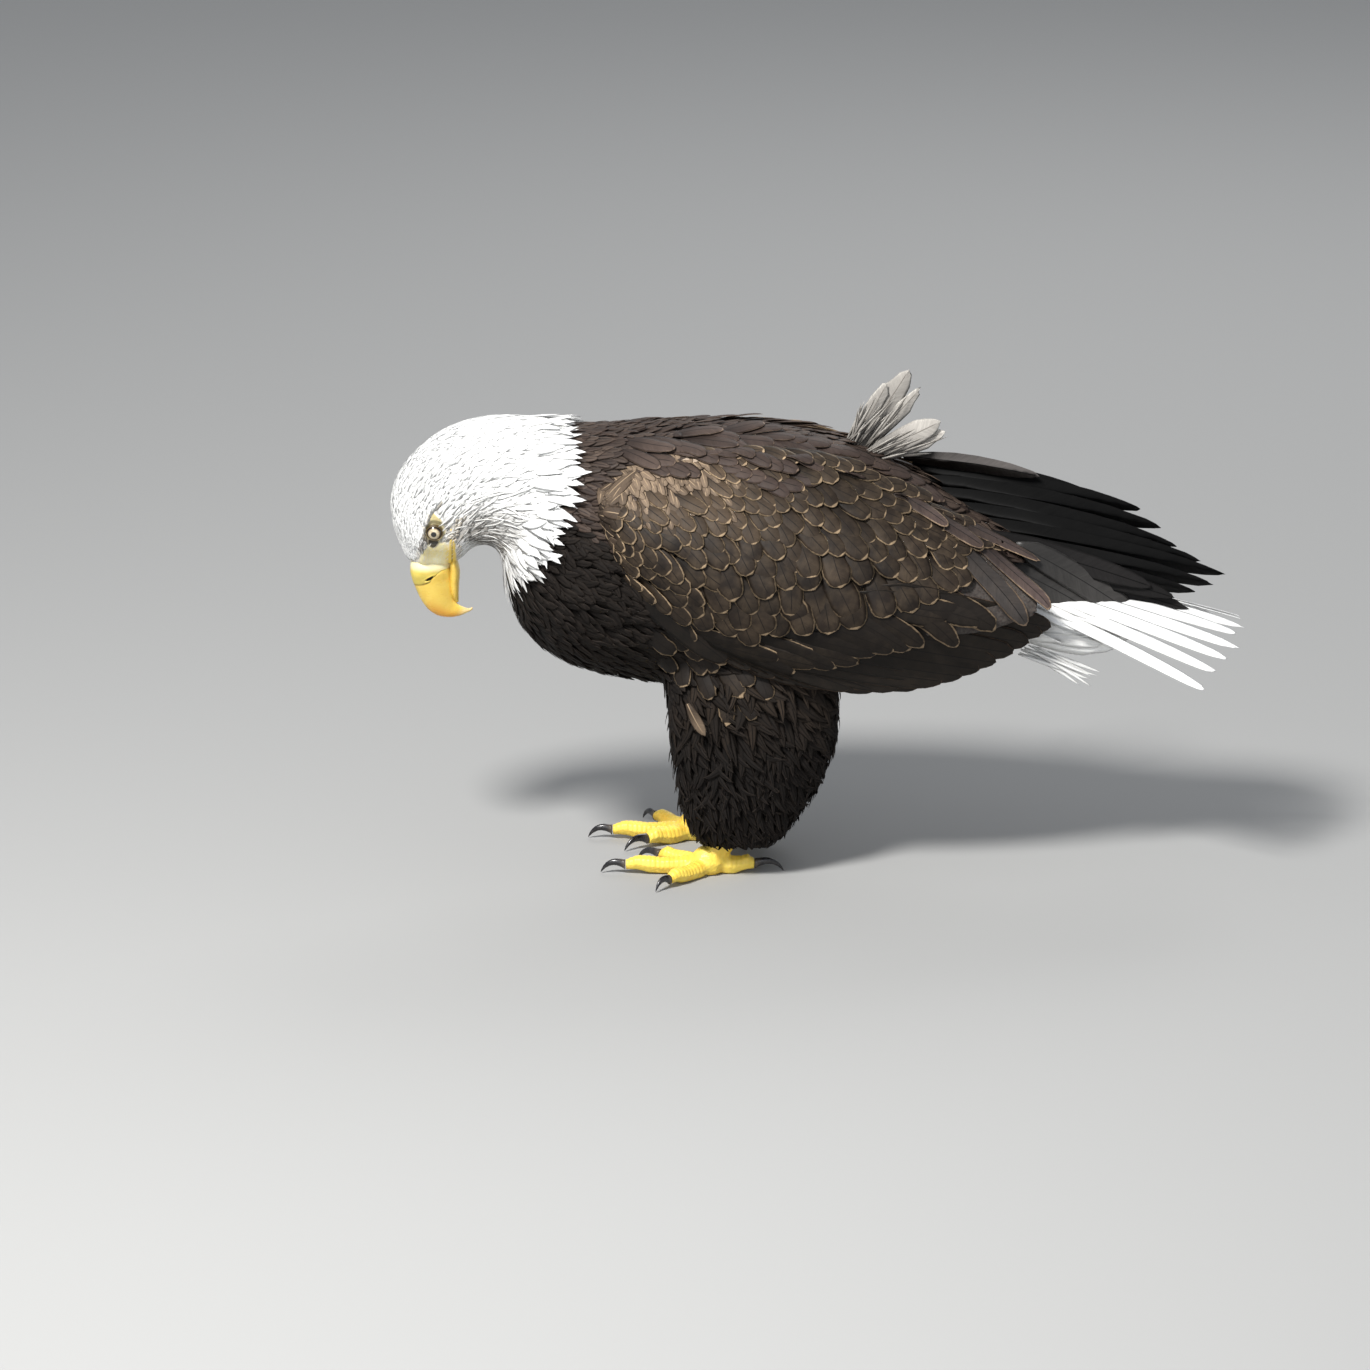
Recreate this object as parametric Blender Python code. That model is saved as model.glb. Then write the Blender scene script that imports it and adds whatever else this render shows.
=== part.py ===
"""A standing bald eagle with its head bent down, life size, as a set of closed solids.

The bird faces -X, its left side is towards -Y and +Z is up. Sizes below are in millimetres, as a bird
would be measured, and M turns them into metres. Each solid is the outer shape of its part, with the plumage.
"""

import math

import bmesh
import bpy
from mathutils import Matrix, Vector

M = 0.001  # metres in a millimetre
GAP = 0.35  # clearance between neighbouring solids
SIDES = ("left", "right")

# The body from the face over the nape to the tail coverts: the back line and the belly line, each as
# (x, z), and the half width between them.
BODY = (
    ((-353, 267), (-307, 267), 17),  # face, where the bill starts
    ((-360, 283), (-304, 271), 20),  # lores
    ((-366, 301), (-300, 276), 29),  # brow and eye
    ((-367, 330), (-294, 281), 34),  # crown
    ((-353, 358), (-286, 283), 38),  # nape
    ((-322, 385), (-279, 282), 41),  # bend of the neck
    ((-281, 397), (-272, 276), 48),  # neck
    ((-236, 395), (-268, 252), 60),  # white collar
    ((-195, 391), (-258, 214), 79),  # base of the neck
    ((-150, 391), (-223, 181), 95),  # breast
    ((-90, 392), (-166, 165), 101),  # shoulders
    ((-30, 388), (-96, 158), 99),  # keel
    ((30, 374), (-22, 164), 89),  # legs
    ((88, 344), (52, 178), 70),  # belly
    ((142, 308), (122, 186), 52),  # rump
    ((195, 276), (182, 196), 43),  # tail coverts
    ((232, 256), (226, 214), 26),  # end of the coverts
)
FACE, HEAD_END, NECK_END, TRUNK_END, RUMP_END = 0, 4.4, 7.55, 13.1, 16
SEAM = 0.004  # from a place where the body is parted to each piece, in rows

# Bill, in the head's own frame: forward from the face, up from the gape line.
BILL_PITCH = math.radians(90)  # how far the head is bent down from level
BILL_ROOT = (-306, 268)
UPPER_BILL = (
    ((1.5, 46), (1.5, 9.4), 16.5),
    ((9, 45.2), (8, 9.4), 15.4),
    ((17, 43.6), (16, 9.3), 13.6),
    ((26, 40.3), (24, 9), 11.8),
    ((35.5, 36), (31, 8.4), 10),
    ((44, 30), (35.5, 7.2), 8),
    ((49.6, 22), (38.4, 5.2), 6),
    ((51.4, 12), (40.6, 3), 4.4),
    ((50.4, 2.5), (41.4, -0.8), 3),
    ((44, -7.6), (41.2, -7.2), 1),
)
LOWER_BILL = (
    ((1.5, 8.8), (1.5, 1.2), 14.4),
    ((10, 8.7), (10, 2), 12),
    ((22, 8.2), (22, 2.8), 9),
    ((31, 7), (31, 3.2), 6),
    ((36.6, 4.6), (36.6, 3.2), 2),
)
BILL_SHARPNESS = 0.85  # of its sections, where 1 is an ellipse
CERE_LENGTH, CERE_SEAM = 0.25, 0.006  # shares of the upper bill
EYE_PLACE, EYE_RADIUS, EYE_SIDE = (-330, 300.5), 9.6, 25.5
# Brow ridge over the eye: where it is along the body, how far it reaches each way, how far it is from
# the belly line (-1) to the back line (1), how broad it is there, and how far it stands out.
BROW_PLACE, BROW_REACH, BROW_RISE, BROW_BREADTH, BROW_HEIGHT = 1.7, 0.8, 0.4, 0.3, 4

# Folded wing, seen from the side: its top edge and bottom edge from the wrist to the last secondary,
# and how far each stands out from the bird's middle.
WING_TOP = ((-183, 361), (-150, 374), (-80, 378), (0, 371), (75, 343), (140, 306), (192, 274))
WING_FOOT = ((-188, 322), (-165, 268), (-108, 220), (-20, 184), (75, 177), (150, 194), (204, 228))
WING_SPAN = (84, 107, 119, 120, 112, 98, 86)
WING_DEPTH = (14, 30, 34, 30, 24, 16, 6)
WING_BULGE, BULGE_AT = 1.5, 0.6
WRIST_SWELL, ELBOW_SWELL = 6, 8  # how soon the arm is at its full depth, from its front and rear ends
COVERT_SHARE, COVERT_SEAM = 0.74, 0.006  # of the height from the top edge down to the bare secondaries
SECONDARIES_START = 0.22  # share of the wing's length whose lower edge the breast covers
THIN = 3
TIP_STEPS = 4  # points round each feather's tip
TIP_SHARPNESS = 2.4

# Feather fans: corners are (x, y, z) for the left side, tips fall short of the full length between feathers.
FAN_REACH, FAN_BULGE = 16, 6  # how much longer the middle feathers are, and how far they bow outwards
TERTIALS = {
    "root_top": (120, -30, 312),
    "root_foot": (150, -54, 236),
    "tip_top": (282, -26, 240),
    "tip_foot": (200, -55, 228),
    "feathers": 4,
    "notch": 0.20,
    "thick": 2.2,
}
LEFT_PRIMARIES = {
    "root_top": (110, -26, 311),
    "root_foot": (110, -42, 266),
    "tip_top": (292, -14, 258),
    "tip_foot": (326, -6, 227),
    "feathers": 5,
    "notch": 0.12,
    "thick": 2.0,
}
RIGHT_PRIMARIES = {
    "root_top": (84, -17, 355),
    "root_foot": (112, -24, 268),
    "tip_top": (288, -21, 315),
    "tip_foot": (358, -16, 244),
    "feathers": 6,
    "notch": 0.16,
    "thick": 2.0,
}

PRIMARIES = {"left": LEFT_PRIMARIES, "right": RIGHT_PRIMARIES}

TAIL_ROOT, TAIL_LENGTH, TAIL_SLOPE = (104, 268), 272, math.radians(12.5)
TAIL_SPREAD, TAIL_FEATHERS, TAIL_NOTCH = math.radians(27), 12, 0.24
TAIL_ARCH, TAIL_THICK = 36, 2.4
TAIL_START, TAIL_ROUNDING = 0.16, 0.06  # shares of the length

# Legs: feathered trousers as (z, front x, rear x, half width), then the bare shank and foot.
TROUSERS = (
    (206, -118, 8, 30),
    (160, -131, 22, 38),
    (122, -125, 17, 37),
    (96, -121, 10, 34),
    (66, -117, -8, 29),
    (42, -109, -22, 22),
    (27, -97, -36, 14),
)
LEG_OUT = 56  # from the bird's middle to the middle of a leg
FOOT_X = {"left": -92, "right": -104}
FOOT_IN = 4  # from the middle of a leg to the middle of its palm
PALM_RADIUS, PALM_HEIGHT, PALM_LENGTH = 14.5, 11, 1.1
SHANK_TOP, SHANK_RADIUS = (30, 0, 38), 9.5  # from the palm, back and up into the trousers
SHANK_START, SHANK_FLARE, SHANK_FLATNESS = 0.26, 0.18, 0.9
# Toe: (turn from straight ahead, length, thickness at the palm, claw length)
TOES = {
    "inner": (-34, 50, 9.4, 29),
    "middle": (0, 72, 9.0, 26),
    "outer": (52, 55, 8.6, 23),
    "hind": (184, 40, 9.2, 31),
}
TOE_TAPER, TOE_END, PAD_SWELL = 0.22, 0.62, 0.09
CLAW_DROP, CLAW_REACH, CLAW_ARCH = math.radians(58), 0.62, 3.4
CLAW_RADIUS, CLAW_TIP, CLAW_LIFT, CLAW_FLATNESS = 0.44, 0.25, 0.8, 0.8

# Loose feathers that the wind lifts off the back: root, tip, width.
LIFTED = {
    "tall": ((36, 8, 366), (83, 20, 432), 25),
    "low": ((44, -2, 360), (110, 6, 388), 22),
}
LIFTED_THICK, LIFTED_BOW = 0.8, 5


def clear_scene():
    for thing in list(bpy.data.objects):
        bpy.data.objects.remove(thing)


def make_material(name, colour, roughness):
    made = bpy.data.materials.new(name)
    made.use_nodes = True
    surface = made.node_tree.nodes["Principled BSDF"]
    surface.inputs["Base Color"].default_value = (*colour, 1)
    surface.inputs["Roughness"].default_value = roughness
    surface.inputs["Metallic"].default_value = 0
    return made


def along(rows, place):
    """Catmull-Rom curve through rows of numbers. place counts rows from 0."""
    first = min(int(place), len(rows) - 2)
    part = place - first
    a, b, c, d = (
        Vector(rows[max(0, min(len(rows) - 1, first + step))]) for step in (-1, 0, 1, 2)
    )
    return 0.5 * (
        2 * b
        + (c - a) * part
        + (2 * a - 5 * b + 4 * c - d) * part**2
        + (3 * b - a - 3 * c + d) * part**3
    )


def store(name, bm, material, collection):
    """Welds the mesh, turns its faces out and links it as an object."""
    bmesh.ops.remove_doubles(bm, verts=bm.verts, dist=1e-6)
    bmesh.ops.dissolve_degenerate(bm, edges=bm.edges, dist=1e-6)
    bmesh.ops.recalc_face_normals(bm, faces=bm.faces)
    mesh = bpy.data.meshes.new(name)
    bm.to_mesh(mesh)
    bm.free()
    mesh.shade_smooth()
    mesh.set_sharp_from_angle(angle=math.radians(40))
    mesh.materials.append(material)
    made = bpy.data.objects.new(name, mesh)
    collection.objects.link(made)
    return made


def tube(name, ring, rounds, rings, material, collection):
    """A closed tube. ring(turn, length) gives a point in millimetres, with both from 0 to 1."""
    bm = bmesh.new()
    bmesh.ops.create_grid(bm, x_segments=rounds, y_segments=rings, size=1)
    for vertex in bm.verts:
        turn, length = (vertex.co.x + 1) / 2, (vertex.co.y + 1) / 2
        vertex.co = Vector(ring(turn, length)) * M
    bmesh.ops.remove_doubles(bm, verts=bm.verts, dist=1e-6)
    ends = [edge for edge in bm.edges if edge.is_boundary]
    bmesh.ops.holes_fill(bm, edges=ends, sides=0)
    return store(name, bm, material, collection)


def plate(name, face, depth, columns, rows, material, collection):
    """A closed plate. face(u, v) is its outer side, and depth(u, v) goes from there to its inner side."""
    bm = bmesh.new()
    bmesh.ops.create_grid(bm, x_segments=columns, y_segments=rows, size=1)
    places = {v: ((v.co.x + 1) / 2, (v.co.y + 1) / 2) for v in bm.verts}
    made = bmesh.ops.extrude_face_region(bm, geom=list(bm.faces))
    inner = [item for item in made["geom"] if isinstance(item, bmesh.types.BMVert)]
    for vertex in inner:
        u, v = (vertex.co.x + 1) / 2, (vertex.co.y + 1) / 2
        vertex.co = (Vector(face(u, v)) + Vector(depth(u, v))) * M
    for vertex, (u, v) in places.items():
        vertex.co = Vector(face(u, v)) * M
    return store(name, bm, material, collection)


def section(rows, place, turn, sharpness=1.0):
    """A point on a loft through rows of (back, belly, half width), in (x, z) and y."""
    flat = [(*back, *belly, width) for back, belly, width in rows]
    bx, bz, lx, lz, width = along5(flat, place)
    angle = 2 * math.pi * turn
    up, out = math.cos(angle), math.sin(angle)
    out = math.copysign(abs(out) ** sharpness, out)
    middle = Vector(((bx + lx) / 2, (bz + lz) / 2))
    half = Vector(((bx - lx) / 2, (bz - lz) / 2))
    spot = middle + half * up
    return spot.x, max(width, 0.1) * out, spot.y


def along5(rows, place):
    """The curve of along, for rows of five numbers, which is more than a Vector smooths in one piece."""
    first, rest = [row[:3] for row in rows], [row[3:] + (0,) for row in rows]
    return (*along(first, place), *along(rest, place)[:2])


def body_piece(name, start, end, rings, material, collection, grow=0.0):
    """A length of the body between two places on it, grown outwards when it is to be a cutter."""
    wider = [
        (
            tuple(Vector(back) + (Vector(back) - Vector(belly)).normalized() * grow),
            tuple(Vector(belly) - (Vector(back) - Vector(belly)).normalized() * grow),
            width + grow,
        )
        for back, belly, width in BODY
    ]

    def ring(turn, length):
        place = start + (end - start) * length
        x, y, z = section(wider, place, turn)
        return x, y + math.copysign(brow(place, turn), y), z

    return tube(name, ring, 20, rings, material, collection)


def brow(place, turn):
    """How far the brow ridge makes the head wider."""
    along_it, across_it = (place - BROW_PLACE) / BROW_REACH, (math.cos(2 * math.pi * turn) - BROW_RISE)
    return BROW_HEIGHT * math.exp(-(along_it**2) - (across_it / BROW_BREADTH) ** 2)


def head_point(forward, up, side):
    """From the head's own frame to the bird's."""
    x, z = BILL_ROOT
    ahead = Vector((-math.cos(BILL_PITCH), 0, -math.sin(BILL_PITCH)))
    crown = Vector((-math.sin(BILL_PITCH), 0, math.cos(BILL_PITCH)))
    return Vector((x, side, z)) + ahead * forward + crown * up


def bill_piece(name, rows, start, end, rings, material, collection):
    last = len(rows) - 1

    def ring(turn, length):
        place = last * (start + (end - start) * length)
        forward, side, up = section(rows, place, turn, BILL_SHARPNESS)
        return head_point(forward, up, side)

    return tube(name, ring, 14, rings, material, collection)


def ball(name, centre, size, segments, material, collection):
    bm = bmesh.new()
    bmesh.ops.create_uvsphere(bm, u_segments=segments, v_segments=segments // 2, radius=1)
    place = Matrix.Translation(Vector(centre) * M) @ Matrix.Diagonal((*(Vector(size) * M), 1))
    bmesh.ops.transform(bm, matrix=place, verts=bm.verts)
    return store(name, bm, material, collection)


def grown(thing, amount, cutters):
    """A hidden copy, larger by amount all round, to cut room for thing in its neighbours."""
    copy = thing.copy()
    copy.data = thing.data.copy()
    copy.name = thing.name + "_cutter"
    copy.modifiers.clear()
    for vertex, normal in zip(copy.data.vertices, [v.normal.copy() for v in thing.data.vertices]):
        vertex.co += normal * amount * M
    cutters.objects.link(copy)
    hide(copy)
    return copy


def hide(cutter):
    cutter.hide_render = True
    cutter.display_type = "WIRE"


def cut(thing, cutter):
    step = thing.modifiers.new("cut " + cutter.name, "BOOLEAN")
    step.operation = "DIFFERENCE"
    step.solver = "EXACT"
    step.object = cutter


def side_of(point, side):
    """Left-side numbers, turned over for the right side."""
    return Vector((point[0], point[1] * (1 if side == "left" else -1), point[2]))


def wing_point(u, v, side):
    """The outer side of the folded wing: u from wrist to tail, v from the top edge down."""
    place = u * (len(WING_TOP) - 1)
    top, foot = along([(*p, 0) for p in WING_TOP], place), along([(*p, 0) for p in WING_FOOT], place)
    out = along([(s, 0, 0) for s in WING_SPAN], place).x
    spot = top.lerp(foot, v)
    return side_of((spot.x, -out * (1 - WING_BULGE * (v - BULGE_AT) ** 2), spot.y), side)


def wing_depth(u, v, side):
    most = along([(d, 0, 0) for d in WING_DEPTH], u * (len(WING_DEPTH) - 1)).x
    ends = max(0, min(1, WRIST_SWELL * u, ELBOW_SWELL * (1 - u)))
    middle = math.sqrt(math.sin(math.pi * v))
    return side_of((0, THIN + (most - THIN) * middle * ends, 0), side)


def wing_arm(side, material, collection):
    def face(u, v):
        return wing_point(u, v * COVERT_SHARE, side)

    def depth(u, v):
        return wing_depth(u, v * COVERT_SHARE, side)

    return plate(f"wing_{side}", face, depth, 14, 6, material, collection)


def wing_secondaries(side, material, collection):
    start = COVERT_SHARE + COVERT_SEAM
    first = SECONDARIES_START

    def face(u, v):
        return wing_point(first + (1 - first) * u, start + (1 - start) * v, side)

    def depth(u, v):
        return side_of((0, THIN, 0), side)

    return plate(f"secondaries_{side}", face, depth, 11, 2, material, collection)


def feather_tip(u, feathers, notch):
    """Share of the full length that the vane reaches at u, with a rounded tip for each feather."""
    across = 2 * ((u * feathers) % 1) - 1
    if u >= 1:
        across = 1
    return 1 - notch * (1 - math.sqrt(max(0.0, 1 - abs(across) ** TIP_SHARPNESS)))


def fan(name, shape, side, material, collection):
    """A layer of long feathers between a root edge and a tip edge."""
    corners = {k: side_of(shape[k], side) for k in ("root_top", "root_foot", "tip_top", "tip_foot")}
    inwards = side_of((0, shape["thick"], 0), side)
    bulge = side_of((0, -FAN_BULGE, 0), side)

    def face(u, v):
        root = corners["root_top"].lerp(corners["root_foot"], u)
        tip = corners["tip_top"].lerp(corners["tip_foot"], u)
        tip.x += FAN_REACH * math.sin(math.pi * u)
        reach = v * feather_tip(u, shape["feathers"], shape["notch"])
        return root.lerp(tip, reach) + bulge * math.sin(math.pi * v) * (1 + u) / 2

    def depth(u, v):
        return inwards

    return plate(name, face, depth, TIP_STEPS * shape["feathers"], 2, material, collection)


def tail_point(u, v):
    """The tail's upper side: u across from left to right, v from root to tip."""
    turn = TAIL_SPREAD * (2 * u - 1)
    from_middle = (2 * u - 1) ** 2
    share = TAIL_START + (1 - TAIL_START) * v * feather_tip(u, TAIL_FEATHERS, TAIL_NOTCH)
    share *= 1 - TAIL_ROUNDING * from_middle
    reach = TAIL_LENGTH * share
    x, z = TAIL_ROOT
    level = z - reach * math.sin(TAIL_SLOPE) - TAIL_ARCH * share * from_middle
    return x + reach * math.cos(turn) * math.cos(TAIL_SLOPE), reach * math.sin(turn), level


def make_tail(material, collection):
    def depth(u, v):
        return 0, 0, -TAIL_THICK

    return plate("tail", tail_point, depth, TIP_STEPS * TAIL_FEATHERS, 2, material, collection)


def trousers(side, material, collection):
    rows = [((rear, z), (front, z), width) for z, front, rear, width in TROUSERS]
    last = len(rows) - 1

    def ring(turn, length):
        x, y, z = section(rows, last * length, turn)
        return side_of((x, y - LEG_OUT, z), side)

    return tube(f"thigh_{side}", ring, 16, 7, material, collection)


def foot_centre(side):
    return side_of((FOOT_X[side], FOOT_IN - LEG_OUT, PALM_HEIGHT), side)


def flatten(thing):
    """Cuts the sole flat at floor level."""
    bm = bmesh.new()
    bm.from_mesh(thing.data)
    every = list(bm.verts) + list(bm.edges) + list(bm.faces)
    bmesh.ops.bisect_plane(
        bm, geom=every, plane_co=(0, 0, 0), plane_no=(0, 0, -1), dist=1e-7, clear_outer=True
    )
    bmesh.ops.holes_fill(bm, edges=[e for e in bm.edges if e.is_boundary], sides=0)
    bmesh.ops.recalc_face_normals(bm, faces=bm.faces)
    bm.to_mesh(thing.data)
    bm.free()


def shank(side, material, collection):
    """The bare lower leg, leaning back from the palm into the trousers."""
    foot = foot_centre(side)
    top = foot + side_of(SHANK_TOP, side)
    lean = (top - foot).normalized()
    across = Vector((0, 1, 0))
    ahead = across.cross(lean)

    def ring(turn, length):
        angle = 2 * math.pi * turn
        wide = SHANK_RADIUS * (1 + SHANK_FLARE * (1 - length))
        spot = foot.lerp(top, SHANK_START + (1 - SHANK_START) * length)
        return spot + across * math.cos(angle) * wide * SHANK_FLATNESS + ahead * math.sin(angle) * wide

    return tube(f"shank_{side}", ring, 10, 2, material, collection)


def palm(side, material, collection):
    size = (PALM_RADIUS * PALM_LENGTH, PALM_RADIUS, PALM_RADIUS)
    made = ball(f"foot_{side}", foot_centre(side), size, 12, material, collection)
    flatten(made)
    return made


def toe_frame(side, toe):
    turn, length, thick, claw = TOES[toe]
    angle = math.radians(turn)
    heading = side_of((-math.cos(angle), -math.sin(angle), 0), side)
    return heading, length, thick, claw


def toe_height(share, thick):
    """The toe's middle line: low along the pads, lifted at the last joint."""
    return thick * (0.86 - 0.16 * share) + 3.2 * math.exp(-(((share - 0.86) / 0.16) ** 2))


def make_toe(side, toe, material, collection):
    heading, length, thick, _ = toe_frame(side, toe)
    start = foot_centre(side)
    across = heading.cross(Vector((0, 0, 1)))
    joints = 3 if toe in ("middle", "outer") else 2

    def ring(turn, place):
        angle = 2 * math.pi * turn
        wide = thick * (1 - TOE_TAPER * place) * (1 + PAD_SWELL * math.cos(2 * math.pi * joints * place))
        if place > 0.999:
            wide *= TOE_END
        spot = start + heading * (length * place)
        spot.z = toe_height(place, thick)
        return spot + across * math.cos(angle) * wide + Vector((0, 0, 1)) * math.sin(angle) * wide

    made = tube(f"toe_{toe}_{side}", ring, 8, 7, material, collection)
    flatten(made)
    return made


def make_claw(side, toe, material, collection):
    """A claw that curves from the end of its toe down to just above the floor."""
    heading, length, thick, claw = toe_frame(side, toe)
    across = heading.cross(Vector((0, 0, 1)))
    start = foot_centre(side) + heading * (length + GAP)
    start.z = toe_height(1, thick)
    radius = thick * CLAW_RADIUS

    def ring(turn, place):
        drop = CLAW_DROP * place
        spot = start + heading * claw * place * math.cos(drop * CLAW_REACH)
        spot.z = start.z * (1 - place**1.7) + CLAW_ARCH * math.sin(math.pi * place) + CLAW_LIFT * place
        spot.z += CLAW_TIP * place
        wide = radius * (1 - place) ** 0.75 + CLAW_TIP
        angle = 2 * math.pi * turn
        back = Vector((0, 0, 1)) * math.cos(drop) + heading * math.sin(drop)
        return spot + across * math.cos(angle) * wide * CLAW_FLATNESS + back * math.sin(angle) * wide

    return tube(f"claw_{toe}_{side}", ring, 7, 5, material, collection)


def lifted_feather(name, root, tip, width, material, collection):
    root, tip = Vector(root), Vector(tip)
    lean = (tip - root).normalized()
    across = lean.cross(Vector((0, 1, 0))).normalized()

    def face(u, v):
        wide = width * math.sin(math.pi * (0.12 + 0.86 * v) ** 0.8)
        bow = Vector((0, LIFTED_BOW, 0)) * math.sin(math.pi * v)
        return root.lerp(tip, v) + across * wide * (u - 0.5) + bow

    def depth(u, v):
        return 0, LIFTED_THICK, 0

    return plate(f"lifted_feather_{name}", face, depth, 3, 5, material, collection)


def stand_on_middle(collections):
    """Moves everything so that the origin is under the middle of the bird's bounding box."""
    bpy.context.view_layer.update()
    corners = [
        thing.matrix_world @ vertex.co
        for thing in collections[0].objects
        for vertex in thing.data.vertices
    ]
    low = Vector(map(min, zip(*corners)))
    high = Vector(map(max, zip(*corners)))
    shift = Vector((-(low.x + high.x) / 2, -(low.y + high.y) / 2, -low.z))
    for collection in collections:
        for thing in collection.objects:
            thing.data.transform(Matrix.Translation(shift))


def make_head(looks, bird, cutters):
    head = body_piece("head", FACE, HEAD_END - SEAM, 11, looks["white"], bird)
    bill_piece("bill_upper_cere", UPPER_BILL, 0, CERE_LENGTH, 3, looks["yellow"], bird)
    bill_piece("bill_upper", UPPER_BILL, CERE_LENGTH + CERE_SEAM, 1, 10, looks["bill"], bird)
    bill_piece("bill_lower", LOWER_BILL, 0, 1, 5, looks["bill"], bird)
    x, z = EYE_PLACE
    for side in SIDES:
        centre = side_of((x, -EYE_SIDE, z), side)
        eye = ball(f"eye_{side}", centre, (EYE_RADIUS,) * 3, 12, looks["eye"], bird)
        cut(head, grown(eye, GAP, cutters))


def make_body(looks, bird, cutters):
    body_piece("neck", HEAD_END + SEAM, NECK_END - SEAM, 6, looks["white"], bird)
    body_piece("trunk", NECK_END + SEAM, TRUNK_END - SEAM, 10, looks["brown"], bird)
    body_piece("rump", TRUNK_END + SEAM, RUMP_END, 5, looks["brown"], bird)
    whole = body_piece("body_cutter", FACE, RUMP_END, 30, looks["brown"], cutters, grow=2 * GAP)
    hide(whole)
    cut(make_tail(looks["white"], bird), whole)
    for name, (root, tip, width) in LIFTED.items():
        cut(lifted_feather(name, root, tip, width, looks["grey"], bird), whole)
    return whole


def make_leg(side, looks, bird, cutters, body_cutter):
    """Trousers, shank and foot. Gives back the cutter that makes room for the trousers."""
    thigh = trousers(side, looks["brown"], bird)
    leg = shank(side, looks["yellow"], bird)
    foot = palm(side, looks["yellow"], bird)
    leg_cutter, palm_cutter = grown(leg, GAP, cutters), grown(foot, GAP, cutters)
    cut(thigh, body_cutter)
    cut(thigh, leg_cutter)
    cut(leg, palm_cutter)
    toes = {toe: make_toe(side, toe, looks["yellow"], bird) for toe in TOES}
    for toe, made in toes.items():
        cut(made, palm_cutter)
        make_claw(side, toe, looks["claw"], bird)
    cut(toes["hind"], leg_cutter)
    cut(toes["inner"], grown(toes["middle"], GAP, cutters))
    cut(toes["middle"], grown(toes["outer"], GAP, cutters))
    return grown(thigh, 2 * GAP, cutters)


def make_wing(side, looks, bird, cutters, body_cutter, thigh_cutter):
    arm = wing_arm(side, looks["brown"], bird)
    vanes = wing_secondaries(side, looks["brown"], bird)
    tertials = fan(f"tertials_{side}", TERTIALS, side, looks["brown"], bird)
    primaries = fan(f"primaries_{side}", PRIMARIES[side], side, looks["black"], bird)
    for part in (arm, vanes):
        cut(part, body_cutter)
        cut(part, thigh_cutter)
    cut(tertials, body_cutter)
    cut(primaries, body_cutter)


def make_looks():
    return {
        "white": make_material("white plumage", (0.86, 0.84, 0.79), 0.8),
        "brown": make_material("brown plumage", (0.055, 0.038, 0.028), 0.75),
        "black": make_material("flight feathers", (0.022, 0.018, 0.017), 0.6),
        "grey": make_material("down feather", (0.35, 0.32, 0.3), 0.8),
        "yellow": make_material("yellow scales", (0.82, 0.55, 0.07), 0.5),
        "bill": make_material("bill horn", (0.9, 0.6, 0.09), 0.35),
        "claw": make_material("claw horn", (0.02, 0.02, 0.022), 0.3),
        "eye": make_material("eye", (0.62, 0.56, 0.4), 0.1),
    }


def main():
    clear_scene()
    bird = bpy.data.collections.new("bald eagle")
    cutters = bpy.data.collections.new("cutters")
    for collection in (bird, cutters):
        bpy.context.scene.collection.children.link(collection)
    looks = make_looks()
    make_head(looks, bird, cutters)
    body_cutter = make_body(looks, bird, cutters)
    for side in SIDES:
        thigh_cutter = make_leg(side, looks, bird, cutters, body_cutter)
        make_wing(side, looks, bird, cutters, body_cutter, thigh_cutter)
    stand_on_middle((bird, cutters))


main()
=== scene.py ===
import math

import bmesh
import bpy
import numpy as np
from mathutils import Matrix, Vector
from mathutils.bvhtree import BVHTree
from mathutils.kdtree import KDTree


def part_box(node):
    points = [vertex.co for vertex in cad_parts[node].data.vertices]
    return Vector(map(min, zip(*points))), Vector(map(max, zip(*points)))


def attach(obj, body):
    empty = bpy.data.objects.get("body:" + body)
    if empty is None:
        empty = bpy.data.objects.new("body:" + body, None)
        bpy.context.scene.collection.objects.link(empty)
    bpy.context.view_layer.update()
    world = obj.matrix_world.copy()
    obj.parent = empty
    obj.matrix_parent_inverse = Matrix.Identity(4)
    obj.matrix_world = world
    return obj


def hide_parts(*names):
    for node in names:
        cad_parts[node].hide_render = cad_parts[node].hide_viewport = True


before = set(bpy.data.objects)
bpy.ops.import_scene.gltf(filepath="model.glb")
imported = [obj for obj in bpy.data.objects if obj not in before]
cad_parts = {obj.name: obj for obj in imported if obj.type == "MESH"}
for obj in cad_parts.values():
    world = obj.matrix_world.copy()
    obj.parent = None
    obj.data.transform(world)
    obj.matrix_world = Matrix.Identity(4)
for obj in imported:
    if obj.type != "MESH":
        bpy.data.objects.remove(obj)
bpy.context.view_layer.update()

mm = 0.001
sides = {"left": 1, "right": -1}  # the left side is towards -Y
chance = np.random.default_rng(11)  # every random choice comes from here, in one order

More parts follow.
